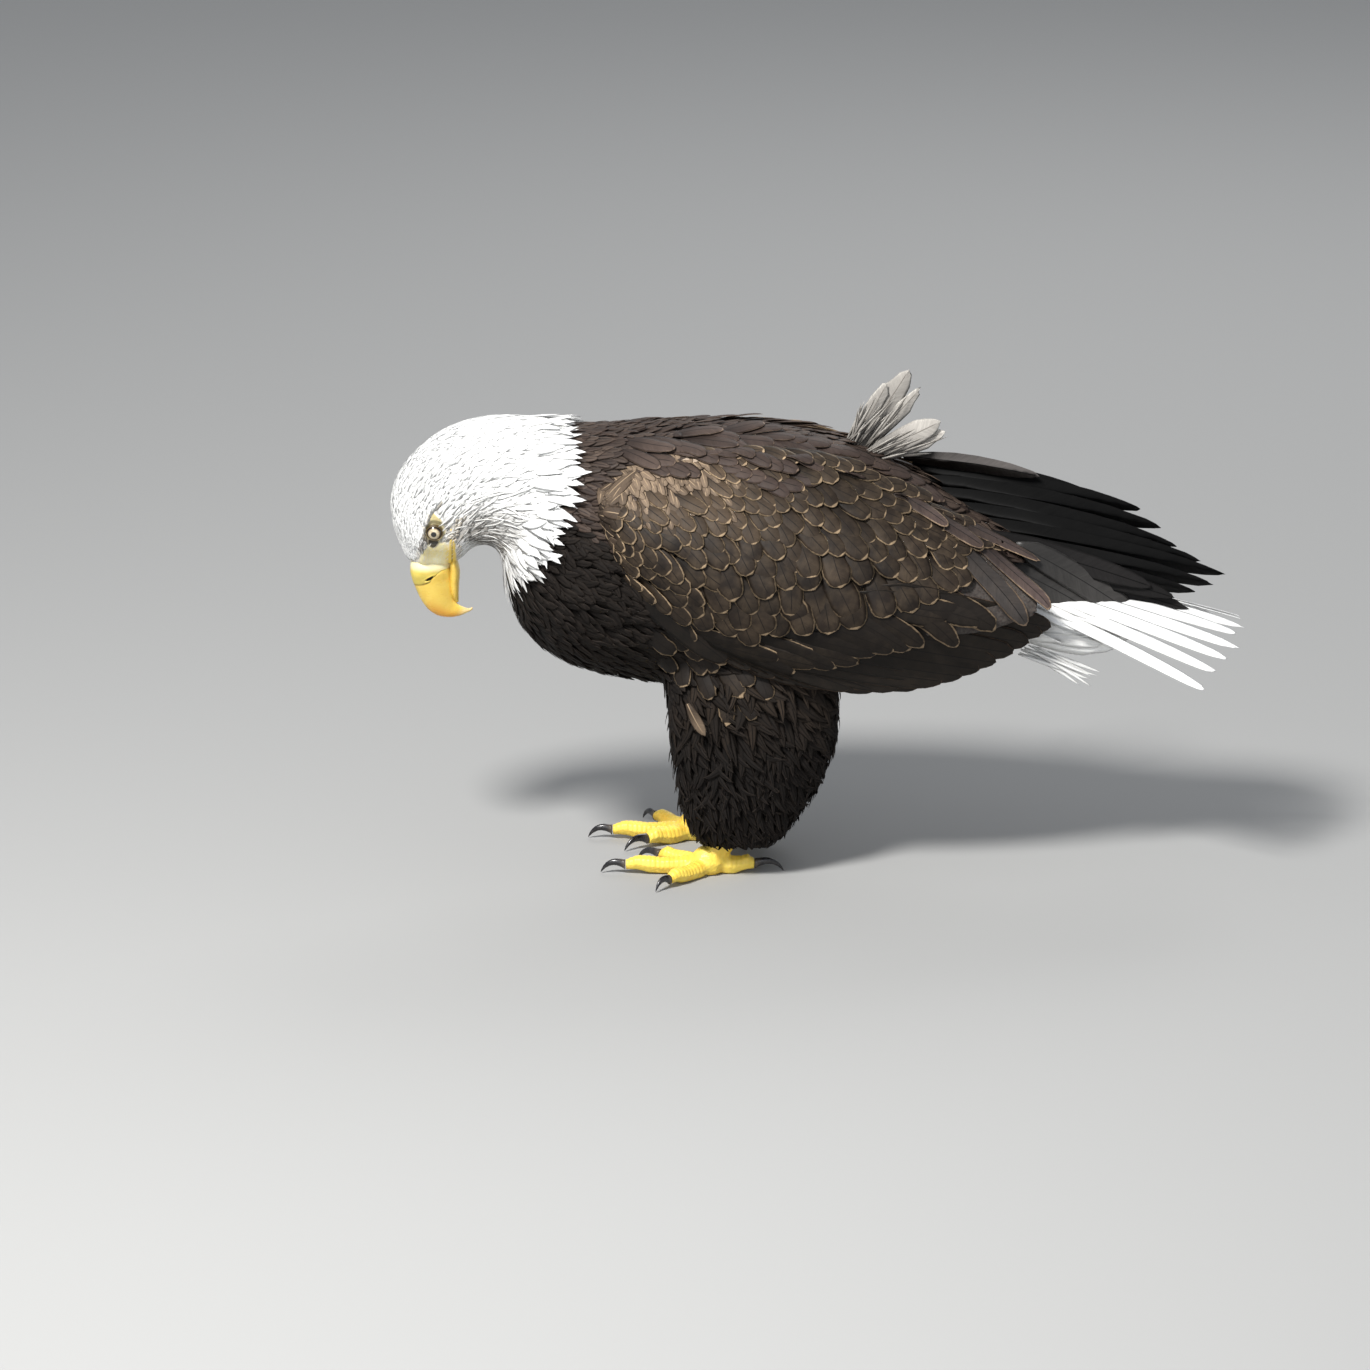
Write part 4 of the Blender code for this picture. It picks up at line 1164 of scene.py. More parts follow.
def hoodEnds(fine):  # long pointed feathers end the white
    rim = []
    for back, spacing in ((0.98, 8), (0.8, 7), (0.62, 8)):
        for sign in (-1, 1):
            turn = np.linspace(0.02, math.pi - 0.02, int(math.pi * 74 / spacing))
            turn = np.clip(turn + chance.normal(size=len(turn)) * 0.03, 0, math.pi)
            rim.append(bodySpot(collar(turn) - back + nudge(len(turn), 0.05), turn * sign))
    rim = np.concatenate(rim)
    sizes = {"place": (6, 8), "length": (40, 44), "width": (4.6, 5), "depth": (2.5, 2.5), "lift": (3.0, 3.4)}
    # grey under the head, partly painted shade
    tone = 0.6 * throat(rim) * chance.random(len(rim))
    return growBody(rim, sizes, "lance", 0.1, {"tone": tone}, (4, 9), **fine)


def bodySpot(place, turn):  # a place on the guide surface, found from inside the body
    lines = readCurve(sectionCurve, place) * mm
    back, belly = lines[:, :2], lines[:, 2:]
    along = unit(back - belly)
    middle = (back + belly) / 2
    inside = np.stack([middle[:, 0], 0 * place, middle[:, 1]], 1)
    out = np.stack([along[:, 0] * np.cos(turn), np.sin(turn), along[:, 1] * np.cos(turn)], 1)
    hits = [guide["tree"].ray_cast(i, o, 0.3) for i, o in zip(inside.tolist(), out.tolist())]
    return np.array([h[0] if h[0] else i for h, i in zip(hits, inside)])


def trunkCoat(material, breastMaterial):
    start = over["place"] > collar(over["turn"]) - 0.75
    top = over["turn"] < math.radians(75)
    belowWing = isBody & start & (over["place"] < 14.6)
    back = scatter(belowWing & top, table(over["place"], (7, 9, 13), (3.8, 5.2, 7.5)))
    front = scatter(belowWing & ~top, table(over["place"], (7, 9, 13), (3.7, 4.8, 6.4)))
    backWidth, frontWidth = (3.4, 4.0, 5.6, 7.6, 9), (3.2, 3.8, 4.6, 5.6, 6.5)
    for name, points, tan, width, finish in (
        ("coat_back", back, 0.35, backWidth, material),
        ("coat_breast", front, 0.1, frontWidth, breastMaterial),
    ):
        streak = np.exp(-(((points - (-0.112, -0.045, 0.386)) / (0.03, 0.022, 0.02)) ** 2).sum(1))
        cream = (chance.random(len(points)) < 0.8 * streak) * 1.0
        pale = np.clip(tan * chance.random(len(points)) + cream, 0, 1)
        sizes = {
            "place": (6.8, 8, 10, 12, 14),
            "length": (26, 34, 42, 46, 44),
            "width": width,
            "depth": (4.5, 6, 7, 7, 6),
            "lift": (0.4, 0.9, 1.4, 1.5, 1.3),
        }
        tone = 0.75 * cream + 0.05 * (name == "coat_back") * chance.random(len(points))
        place, turn, _ = bodyPlace(points)
        sink = table(place - collar(np.abs(turn)), (-0.8, 0.1, 0.6), (3.2, 1.4, 0))
        looks = {"pale": pale, "tone": tone}
        bunch = growBody(points, sizes, "leaf", 0.12, looks, (6, 16), sink, camber=0.12)
        coatPiece(name, [bunch], finish, "brown_plumage")


def tailCoverts(material):
    use = isBody & (over["place"] > 14.3) & (np.abs(over["turn"] - math.pi / 2) > math.radians(30))
    points = scatter(use, np.full(len(use), 7.5))
    sizes = {"place": (14, 16), "length": (46, 50), "width": (8, 8), "depth": (5, 4), "lift": (2, 2.5)}
    looks = {"tone": 0.25 + 0.3 * chance.random(len(points))}
    bunch = growBody(points, sizes, "leaf", 0.12, looks, (13, 17), hug=0.8)
    coatPiece("coat_tail_coverts", [bunch], material, "white_plumage")


def trousers(material):
    for side, sign in sides.items():
        mine = isThigh & (over["centre"][:, 1] * sign < 0) & (over["centre"][:, 2] > 0.036)
        points = scatter(mine, table(over["centre"][:, 2], (0.03, 0.08, 0.2), (3.1, 3.9, 5.2)))
        normals = onSurface(guide, points)[1]
        count, height = len(points), points[:, 2]
        lean = table(height, (0.03, 0.12, 0.2), (0.25, 0.15, 0.75))
        lean += table(points[:, 0], (-0.12, 0.02), (-0.1, 0.35)) * (height > 0.05)
        heading = np.stack([lean, 0 * height, -np.ones(count)], 1)
        heading = swung(unit(heading), normals, nudge(count, 0.2))
        lengths = table(height, (0.03, 0.06, 0.12, 0.2), (17, 30, 40, 44)) * jitter(count, 0.18) * mm
        widths = table(height, (0.03, 0.1, 0.2), (1.8, 2.7, 5.2)) * jitter(count, 0.2) * mm
        depth = table(height, (0.03, 0.1), (3.5, 6)) * mm
        lift = table(height, (0.03, 0.08, 0.2), (1.0, 3.0, 2.5)) * jitter(count, 0.6) * mm
        bunch = lay(points, heading, lengths, "lance", depth, lift, hug=0.85, bend=nudge(count, 0.6))
        outer = smoothstep(0.13, 0.2, height) * (0.1 + 0.6 * chance.random(count))
        around = np.arctan2(points[:, 1] + sign * 0.056, points[:, 0] + 0.05) / (2 * math.pi) + 0.5
        roots = np.stack([around, (height - 0.02) / 0.2], 1)
        looks = {"pale": outer, "tone": 0.2 * chance.random(count)}
        bunch = vanes(bunch, widths, roots=roots, looks=looks)
        coatPiece("coat_thigh_" + side, [bunch], material, "brown_plumage")


flankTable = (  # tips of the brown scalloped feathers over the top of the thigh, in (x, z), and how they fall
    ((-118, 187), 48), ((-72, 203), 42), ((-52, 184), 45), ((-87, 169), 68), ((-72, 147), 76),
    ((-37, 169), 58), ((-55, 151), 66), ((-94, 203), 46), ((-109, 215), 44), ((-110, 170), 66),
    ((-98, 186), 55), ((-66, 172), 60), ((-82, 188), 52), ((-48, 203), 40), ((-126, 203), 50),
)


def flankCoat(side, material):
    sign, count = sides[side], len(flankTable)
    tips = np.array([row[0] for row in flankTable], float) + 1.5 * chance.normal(size=(count, 2))
    fall = np.radians([row[1] for row in flankTable])
    order = np.argsort(tips[:, 1])
    tips, fall = tips[order], fall[order]
    roots = tips - 38 * np.stack([np.cos(fall), -np.sin(fall)], 1)
    roots, ends = sideSpot(roots, sign), sideSpot(tips, sign)
    lengths = np.clip(np.linalg.norm(ends - roots, axis=1), 30 * mm, 46 * mm)
    lift = np.linspace(2.2, 4.0, count) * mm
    bunch = lay(roots, ends - roots, lengths, "covert", 3 * mm, lift, bend=nudge(count, 0.3))
    looks = {"pale": 0.2 * chance.random(count), "tone": 0.5 + 0.5 * chance.random(count)}
    bunch = vanes(bunch, 8.8 * jitter(count, 0.08) * mm, 6, roots=bakeRow(count, 0.5), looks=looks)
    coatPiece("coat_flank_" + side, [bunch], material, "brown_plumage")


def looseFeather(material):  # one pale feather hangs loose in front of the near thigh
    root, tip = np.array([(-111.0, -97, 166)]) * mm, np.array([(-96.0, -98, 138)]) * mm
    bunch = straight(root, tip, np.array([(-0.3, -1.0, 0.1)]), "leaf", 1.5 * mm, 0)
    bunch = vanes(bunch, np.array([5.2]) * mm, 8, 0.2, 0.03, np.array([(0.5, 0.5)]), {"pale": 0.9}, 0.3 * mm)
    coatPiece("loose_feather", [bunch], material, "grey_feathers")


wingSpan = curveThrough((84, 107, 119, 120, 112, 98, 86))


def wingFace(u, v, sign):  # the outer side of the folded wing
    flat = wingSpot(u, v)
    out = readCurve(wingSpan, 6 * u)[..., 0] * (1 - 1.5 * (v - 0.6) ** 2) * mm
    return np.stack([flat[:, 0], -sign * out, flat[:, 1]], 1)


def wingSheet(sign):  # the wing's outer side with its secondaries, for laying feathers on
    rows, columns = np.linspace(0, 1, 61), np.linspace(-0.04, 1.06, 41)
    u, v = (g.ravel() for g in np.meshgrid(rows, columns, indexing="ij"))
    grid = np.arange(len(u)).reshape(len(rows), len(columns))
    quads = np.stack([grid[:-1, :-1], grid[:-1, 1:], grid[1:, 1:], grid[1:, :-1]], -1).reshape(-1, 4)
    mesh = bpy.data.meshes.new("wing sheet")
    mesh.from_pydata(wingFace(u, v, sign).tolist(), [], quads[:, ::sign].tolist())
    mesh.update()
    sheet = searchTree(mesh)
    if (sheet["normals"][:, 1] * -sign).mean() < 0:
        sheet["normals"] *= -1
    bpy.data.meshes.remove(mesh)
    return sheet


sheets = {side: wingSheet(sign) for side, sign in sides.items()}


# The wing's coverts by where their tips are: shares along the wing from the wrist, and down it from the top.
coverts = {"length": 430, "step": 1.5}  # the wing's length in mm, and a row's step in half widths
lastRow = (
    (0, 0.1, 0.2, 0.3, 0.42, 0.5, 0.56, 0.64, 0.7, 0.78, 0.86),
    (0.76, 0.86, 0.89, 0.87, 0.86, 0.735, 0.675, 0.59, 0.505, 0.36, 0.2),
)
covertRows = (  # share of the way down to the last row, and where along the wing the row starts and ends
    (1, 0.17, 0.8), (0.92, 0.3, 0.6), (0.84, 0.08, 0.5), (0.72, 0.04, 0.82), (0.61, 0.02, 0.54),
    (0.51, 0.01, 0.83), (0.43, 0.0, 0.52), (0.35, 0.2, 0.84), (0.28, 0.3, 0.5), (0.22, 0.34, 0.86),
    (0.16, 0.36, 0.47), (0.11, 0.34, 0.88), (0.06, 0.34, 0.44), (0.01, 0.3, 0.9),
)
patchRows = (0.42, 0.38, 0.34, 0.3, 0.26, 0.22, 0.18, 0.14, 0.1, 0.06, 0.02)  # the pale patch at the bend
flankRows = ((0.95, 0.02, 0.36), (0.88, 0.0, 0.2), (0.8, 0.0, 0.12))  # below the bend of the wing
greatRow = ((0.36, 0.51, 0.58, 0.65, 0.74, 0.86), (0.9, 0.875, 0.83, 0.735, 0.64, 0.63))


def rowOf(start, end, level, half):  # places along one row, a little apart by chance
    def step(u):
        return half(u, level(u)) * coverts["step"] / coverts["length"]

    places, here = [], start + step(start) * chance.random()
    while here < end:
        places.append(here)
        here += step(here) * (0.92 + 0.16 * chance.random())
    return np.array(places)


def covertHalf(u, v):
    size = table(v, (0.02, 0.1, 0.3, 0.5, 0.85), (6.4, 7.2, 8.8, 10.4, 11.6))
    return size * table(u, (0, 0.12, 0.25, 0.45, 0.6, 0.8), (0.55, 0.66, 0.82, 1, 1.22, 1.15))


def covertPlan():  # for each covert: along, down, half width, length, fall, kind (see below) and darkness
    rows = []

    def add(u, *values):
        rows.append(np.array([np.broadcast_to(value, len(u)) for value in (u, *values)]))

    for share, start, end in covertRows:
        u = rowOf(start, end, lambda u: share * table(u, *lastRow), covertHalf)
        v = share * table(u, *lastRow)
        half = covertHalf(u, v)
        low = table(u, (0, 0.2, 0.35, 0.42, 0.5, 0.58, 0.65, 0.72, 0.8), (35, 38, 46, 66, 75, 72, 64, 54, 42))
        high = table(u, (0, 0.2, 0.4, 0.6, 0.8), (50, 50, 36, 26, 24))
        fall = high + (low - high) * smoothstep(0.05, 0.8, share)
        add(u, v, half, 15 + 2.7 * half, fall, 0, 0.3)
    for v in patchRows:
        u = rowOf(0.03, 0.375 - 0.1 * (v > 0.33), lambda u: v, lambda u, v: 3.1)
        add(u, v, 3.8, 25, 58, 1, 0.1)
    for v, start, end in flankRows:
        u = rowOf(start, end, lambda u: v, lambda u, v: 5.5)
        add(u, v, 6.4, 32, 44, 0, 0.9)
    u = rowOf(0.37, 0.87, lambda u: 0, lambda u, v: 8.5)
    add(u, table(u, *greatRow), 10.5, 92, 13 + 12 * smoothstep(0.5, 0.8, u), -1, 0.95)
    return np.concatenate(rows, 1)


def wingCoat(side, material, bendMaterial):
    sign = sides[side]
    u, v, half, lengths, fall, kind, shade = covertPlan()
    great, patch = kind < 0, kind > 0  # the great coverts and the pale patch; the rest are 0
    half = half * jitter(len(u), 0.07)
    lengths = lengths * jitter(len(u), 0.06)
    fall = np.radians(fall + np.where(patch, 9, np.where(great, 2, 5)) * chance.normal(size=len(u)))
    v = v + np.where(great, 0.004, 0.012) * chance.normal(size=len(u))
    roots = wingSpot(u, v) - np.stack([np.cos(fall), -np.sin(fall)], 1) * lengths[:, None] * mm
    rootU, rootV = wingPlace(np.stack([roots[:, 0], 0 * u, roots[:, 1]], 1))
    root = wingFace(np.clip(rootU, 0.0, 1), np.clip(rootV, -0.03, 1), sign)
    heading = wingFace(u, v, sign) - root
    lengths = np.maximum(np.linalg.norm(heading, axis=1) * 1.02, 12 * mm)
    depth = np.where(great, 1.6, table(v, (0.1, 0.6, 0.9), (3.5, 4, 3.4))) * mm
    lift = np.where(great, 0.9, table(v, (0.05, 0.3, 0.6, 0.9), (1.2, 1.8, 2.6, 2.8)))
    lift = np.where(patch, 0.55, 1) * (lift * jitter(len(u), 0.35) * mm)
    tan = np.exp(-(((u - 0.2) / 0.2) ** 2)) * (1 - smoothstep(0.3, 0.5, v))
    tan = tan * (0.55 + 0.5 * chance.random(len(u))) + 0.12 * chance.random(len(u))
    tan = np.clip(tan, 0, 1) * (shade < 0.8)
    tone = shade * (0.6 + 0.4 * chance.random(len(u)))
    bake = np.stack([rootU * 0.9 + 0.05, rootV * 0.8 + 0.1], 1)
    bend = nudge(len(u), 0.2)
    plain = patch | (u < 0.1)
    for name, use, finish in (("coat_wing_", ~plain, material), ("coat_bend_", plain, bendMaterial)):
        rows = (values[use] for values in (root, heading, lengths))
        bunch = lay(*rows, "covert", depth[use], lift[use], bend=bend[use], surface=sheets[side])
        looks = {"pale": tan[use], "tone": tone[use]}
        bunch = vanes(bunch, half[use] * mm, 6, roots=bake[use], looks=looks, ragged=0.03)
        coatPiece(name + side, [bunch], finish, "brown_plumage")


secondary = {"count": 17, "half": 13.5, "bow": 5, "drift": 4}


def secondaries(side, material):  # the long feathers along the wing's lower edge
    sign, count = sides[side], secondary["count"]
    share = np.linspace(0, 1, count)
    tip = 0.4 + 0.6 * share
    tips = wingFace(tip, 0.98 - 0.02 * share + nudge(count, 0.004), sign)
    flat = np.radians(table(share, (0, 0.5, 1), (3, 10, 16)))
    long = table(share, (0, 0.5, 1), (150, 172, 165)) * mm
    root = tips[:, [0, 2]] - np.stack([np.cos(flat), -np.sin(flat)], 1) * long[:, None]
    u, v = wingPlace(np.stack([root[:, 0], 0 * share, root[:, 1]], 1))
    roots = wingFace(np.clip(u, 0, 1), np.clip(v, 0.45, 0.9), sign)
    out = (1.4 - 2.6 * share)[:, None] * np.array([0, -sign, 0]) * mm
    ups = np.stack([0 * share, np.full(count, -sign * 1.0), -0.25 + 0 * share], 1)
    bow, drift = secondary["bow"] * mm, -sign * secondary["drift"] * mm
    bunch = straight(roots + out, tips + out, ups, "flight", bow, drift)
    looks = {"tone": 0.2 * chance.random(count)}
    shape = {"across": 8, "camber": 0.07, "ragged": 0.012, "ridge": 0.5 * mm}
    half = np.full(count, secondary["half"]) * mm
    bunch = vanes(bunch, half, roots=bakeLine(share, 0.25), looks=looks, **shape)
    coatPiece("secondaries_flight_" + side, [bunch], material, "wing_feathers", "secondaries_" + side)


def bakeLine(share, height):  # places for long feathers on the bake's map, side by side
    return np.stack([0.06 + 0.88 * np.asarray(share), np.full(len(share), height)], 1)


def bakeRow(count, height):
    return bakeLine(np.linspace(0, 1, count), height)


def sideSpot(flat, sign):  # where a line from the side meets the guide surface, from (x, z) in mm
    spots = []
    for x, z in (np.asarray(flat) * mm).tolist():
        hit = guide["tree"].ray_cast((x, -0.3 * sign, z), (0, sign, 0), 0.3)[0]
        if hit is None:
            hit = guide["tree"].find_nearest((x, -0.03 * sign, z))[0]
        spots.append(hit)
    return np.array(spots)


# Over the top of the wing: the line of the tips as (x, z), and the length, half width and fall in degrees.
scapularRows = (
    {
        "line": (
            (-122, 357), (-103, 360), (-79, 367), (-62, 366), (-46, 357), (-31, 349), (-12, 352), (12, 356),
        ),
        "size": (42, 7.5, 17),
    },
    {
        "line": (
            (-140, 366), (-100, 370), (-60, 373), (-30, 362), (-2, 366), (22, 365), (45, 357), (62, 351),
        ),
        "size": (46, 8, 17),
    },
    {
        "line": ((-120, 376), (-80, 379), (-40, 378), (-2, 375), (29, 374), (61, 363), (90, 348), (106, 339)),
        "size": (54, 8.5, 20),
    },
    {
        "line": ((-90, 387), (-40, 387), (0, 384), (40, 375), (75, 362), (100, 350), (122, 337)),
        "size": (56, 8.5, 21),
    },
)


def scapulars(side, material):
    sign = sides[side]
    bunches = []
    for number, row in enumerate(scapularRows):
        length, wide, fall = row["size"]
        curve = curveThrough(row["line"])
        span = curve[1][-1, 0] - curve[1][0, 0]
        count = int(span / (wide * 1.45))
        share = (np.arange(count) + 0.5 * (number % 2) + nudge(count, 0.12)) / count
        tips = readCurve(curve, np.clip(share, 0, 1) * (len(row["line"]) - 1))
        tips = tips + 1.6 * chance.normal(size=tips.shape)
        fall = np.radians(fall + nudge(count, 4))
        lengths = length * jitter(count, 0.08)
        roots = tips - np.stack([np.cos(fall), -np.sin(fall)], 1) * lengths[:, None]
        roots, ends = sideSpot(roots, sign), sideSpot(tips, sign)
        heading = ends - roots
        lengths = np.clip(np.linalg.norm(heading, axis=1), 0.8 * length * mm, 1.2 * length * mm)
        lift = (3.2 + 0.5 * number) * jitter(count, 0.3) * mm
        bunch = lay(roots, heading, lengths, "covert", 2.5 * mm, lift, bend=nudge(count, 0.15))
        tan = 0.15 + 0.3 * chance.random(count) * (tips[:, 0] < -40)
        bake = np.stack([0.08 + 0.84 * share, np.full(count, 0.93 + 0.015 * number)], 1)
        looks = {"pale": tan, "tone": 0.2 * chance.random(count)}
        bunches.append(vanes(bunch, wide * jitter(count, 0.08) * mm, 6, roots=bake, looks=looks, ragged=0.03))
    coatPiece("coat_scapular_" + side, bunches, material, "brown_plumage")


tertialTable = (  # root and tip by shares along and down the wing, half width, the tip's lift
    ((0.7, 0.02), (0.905, 0.69), 11, 2.6),
    ((0.79, 0.0), (1.0, 0.53), 8.2, 3.6),
    ((0.71, 0.0), (0.975, 0.01), 8, 5),
    ((0.69, 0.02), (0.83, 0.11), 8.5, 5.5),
    ((0.64, 0.0), (0.75, 0.08), 7.5, 5.5),
)
# Feathers held off the body: root and tip in mm, half width.
innerTable = (  # the grey ones below the tertials
    ((165, -44, 274), (256, -27, 223), 12),
    ((172, -37, 292), (277, -20, 229), 12.5),
)
nearPrimaries = (  # the left wing's
    ((120, -22, 276), (300, -8, 226), 11),
    ((125, -24, 284), (322, -10, 232), 11),
    ((130, -27, 293), (312, -15, 243), 11),
    ((135, -30, 300), (292, -19, 254), 11),
)
farPrimaries = (  # the right wing's, with how grey each is; the top one's grey is a painted highlight where light catches its vane
    ((112, -24, 272), (330, -13, 240), 11, 0),
    ((104, -24, 286), (347, -14, 246), 11, 0),
    ((98, -24, 300), (355, -16, 255), 11.5, 0),
    ((92, -23, 313), (336, -18, 266), 11.5, 0),
    ((88, -22, 325), (315, -19, 279), 12, 0),
    ((86, -21, 335), (300, -20, 296), 12, 0),
    ((84, -20, 343), (282, -21, 312), 11, 0),
    ((84, -19, 350), (238, -22, 326), 10, 0),
    ((76, -13, 357), (195, -15, 343), 8.5, 1),
)


def fanned(rows, sign, faces, outline, bake, looks, bow=4):
    roots = np.array([row[0] for row in rows]) * (1, sign, 1) * mm
    tips = np.array([row[1] for row in rows]) * (1, sign, 1) * mm
    wide = np.array([row[2] for row in rows]) * mm
    ups = np.broadcast_to(np.array(faces) * (1, sign, 1), roots.shape)
    bunch = straight(roots, tips, ups, outline, bow * mm, -sign * 5 * mm)
    return vanes(bunch, wide, 8, 0.07, 0.02, bakeRow(len(rows), bake), looks, 0.5 * mm)


def flightFans(side, brown, grey, black):
    sign = sides[side]
    starts, ends, wide, lift = (np.array([row[k] for row in tertialTable]).T for k in range(4))
    root = wingFace(*starts, sign)
    run = wingFace(*ends, sign) - root
    lengths = np.linalg.norm(run, axis=1) * 1.03
    bunch = lay(root, run, lengths, "flight", 2.5 * mm, lift * mm, surface=sheets[side])
    tints = {"tone": (0.7, 0.1, 0.1, 0.0, 0.0), "pale": (0.0, 0.6, 0.45, 0.35, 0.45)}
    upper = vanes(bunch, wide * mm, 8, 0.1, 0.02, bakeRow(len(lengths), 0.5), tints, 0.5 * mm)
    lower = fanned(innerTable, sign, (0.1, -1, 0.5), "flight", 0.62, {"tone": (0.1, 0.3)})
    coatPiece("tertial_flight_" + side, [upper], brown, "wing_feathers", "tertials_" + side)
    coatPiece("inner_flight_" + side, [lower], grey, "wing_feathers")
    rows = nearPrimaries if side == "left" else farPrimaries
    # the far wing's top primary is painted grey as a painted highlight
    tone = 0.1 if side == "left" else np.array([row[3] for row in rows]) * 1.0
    bunch = fanned(rows, sign, (0.1, -1, 0.3), "blade", 0.5, {"tone": tone}, 3)
    coatPiece("primary_flight_" + side, [bunch], black, "black_feathers", "primaries_" + side)


# The tail: the quills' root as (x, z), lengths in mm, slope and spread in degrees.
tail = {"root": (104, 268), "length": 272, "slope": 12.5, "spread": 27, "arch": 36, "half": 7.6, "count": 12}
tail["soft"] = 34  # feathers over the quills' bases


def tailSpot(across, share):  # across from -1 to 1
    turn = np.radians(tail["spread"]) * across
    reach = tail["length"] * share * (1 - 0.06 * across**2)
    slope = math.radians(tail["slope"])
    level = tail["root"][1] - reach * math.sin(slope) - tail["arch"] * share * across**2
    back = tail["root"][0] + reach * np.cos(turn) * math.cos(slope)
    return np.stack([back, reach * np.sin(turn), level], 1) * mm


def tailBlades():
    count = tail["count"]
    across = (np.arange(count) + 0.5) / count * 2 - 1
    across = across[np.argsort(-np.abs(across))] + nudge(count, 0.012)
    roots, tips = tailSpot(across, 0.2 + 0 * across), tailSpot(across, 1 + nudge(count, 0.012))
    stack = (1 - np.abs(across))[:, None] * np.array([0, 0, 2.5]) * mm
    ups = np.stack([0.2 + 0 * across, across * 0.45 + 0.25 * np.sign(across), 1 + 0 * across], 1)
    bunch = straight(roots + stack, tips + stack, ups, "flight", 5 * mm, 0)
    half = tail["half"] * (1.12 - 0.22 * np.abs(across)) * mm
    looks = {"tone": 0.12 * chance.random(count) + 0.1 * (across > 0.3)}
    return vanes(bunch, half, 8, 0.06, 0.02, bakeLine((across + 1) / 2, 0.3), looks, 0.5 * mm)


def tailBases():  # the soft white feathers over the quills' bases, above and below
    count = tail["soft"]
    across = np.linspace(-1, 1, count // 2)
    across = np.concatenate([across, across]) + nudge(count, 0.03)
    below = np.arange(count) >= count // 2
    first = 0.2 + 0.07 * chance.random(count)
    last = first + 0.3 + 0.12 * chance.random(count)
    drop = np.where(below, -5.0, 3.5)[:, None] * np.array([0, 0, 1]) * mm
    sag = np.where(below, -6.0, 0)[:, None] * np.array([0, 0, 1]) * mm
    ups = np.stack([0.2 + 0 * across, 0.4 * across, np.where(below, -1, 1)], 1)
    roots, tips = tailSpot(across, first) + drop, tailSpot(across, last) + drop + sag
    bunch = straight(roots, tips, ups, "leaf", 3 * mm, 0)
    looks = {"tone": np.where(below, 0.2, 0.1) * chance.random(count)}
    return vanes(bunch, 10 * jitter(count, 0.1) * mm, 6, 0.12, 0.05, bakeLine((across + 1) / 2, 0.7), looks)


undertail = (  # the soft mass under the tail's base and the wisps that hang from it, in mm
    {"count": 20, "start": (150, 30, 214), "spread": (34, 14, 14), "run": (66, 12, 2), "drop": 14, "half": 8,
     "outline": "leaf"},
    {"count": 14, "start": (172, 44, 196), "spread": (20, 8, 8), "run": (40, 2, -18), "drop": 8, "half": 1.7,
     "outline": "lance"},
)


def undertailTuft(kind, sign):
    count = kind["count"]
    random = chance.random((count, 4))
    root = (np.array(kind["start"]) + random[:, :3] * kind["spread"]) * (1, sign, 1) * mm
    more = np.stack([22 * random[:, 3], 0 * random[:, 3], -kind["drop"] * random[:, 0]], 1)
    tip = root + (np.array(kind["run"]) + more) * (1, sign, 1) * mm
    ups = np.broadcast_to((0.1, 1.0 * sign, 0.25), root.shape)
    bunch = straight(root, tip, ups, kind["outline"], 2 * mm, 3 * mm * chance.normal(size=count))
    place = bakeLine(random[:, 2], 0.86 + 0.04 * sign)
    half = kind["half"] * jitter(count, 0.2) * mm
    return vanes(bunch, half, 4, 0.15, 0.06, place, {"tone": 0.25 * random[:, 1]})


def tailFan(material):
    bunches = [tailBlades(), tailBases()]
    bunches += [undertailTuft(kind, sign) for sign in (-1, 1) for kind in undertail]
    coatPiece("tail_flight", bunches, material, "tail_feathers", "tail")


# The two feathers that the wind lifts off the back: root and tip in mm, half width, bow.
liftedTable = {
    "tall": (
        ((36, 8, 366), (83, 20, 431), 11.5, 5), ((31, 7, 368), (64, 16, 420), 7.5, 4),
        ((40, 9, 364), (92, 17, 414), 7, 4),
    ),
    "low": (((44, -1, 362), (109, 7, 387), 10.5, 4), ((52, 1, 359), (112, 9, 377), 8, 4)),
}
liftedDown = {"tall": 26, "low": 12}  # wisps of loose down round the quills


def liftedFeathers(material):
    for name, rows in liftedTable.items():
        roots, tips, wide, bow = (np.array([row[k] for row in rows]) * mm for k in range(4))
        ups = np.broadcast_to((0.2, -1.0, 0.35), roots.shape)
        bunch = straight(roots, tips, ups, "leaf", -bow, 3 * mm)
        looks = {"tone": 0.15 * chance.random(len(rows)), "pale": 0.5}
        big = vanes(bunch, wide, 8, 0.2, 0.05, bakeRow(len(rows), 0.3), looks, 0.3 * mm)
        count = liftedDown[name]
        root = roots[0] + chance.normal(size=(count, 3)) * (7 * mm, 3 * mm, 2 * mm)
        lean = (tips[0] - roots[0]) * (0.35 + 0.4 * chance.random(count))[:, None]
        end = root + lean + chance.normal(size=(count, 3)) * (10 * mm, 4 * mm, 4 * mm)
        bunch = straight(root, end, np.broadcast_to((0.1, -1.0, 0.2), root.shape), "lance", 3 * mm, 0)
        looks = {"tone": 0.25 * chance.random(count), "pale": 0.6}
        half = 1.1 * jitter(count, 0.2) * mm
        down = vanes(bunch, half, 2, 0.3, 0.05, bakeRow(count, 0.7), looks)
        coatPiece("lifted_" + name, [big, down], material, "grey_feathers", "lifted_feather_" + name)


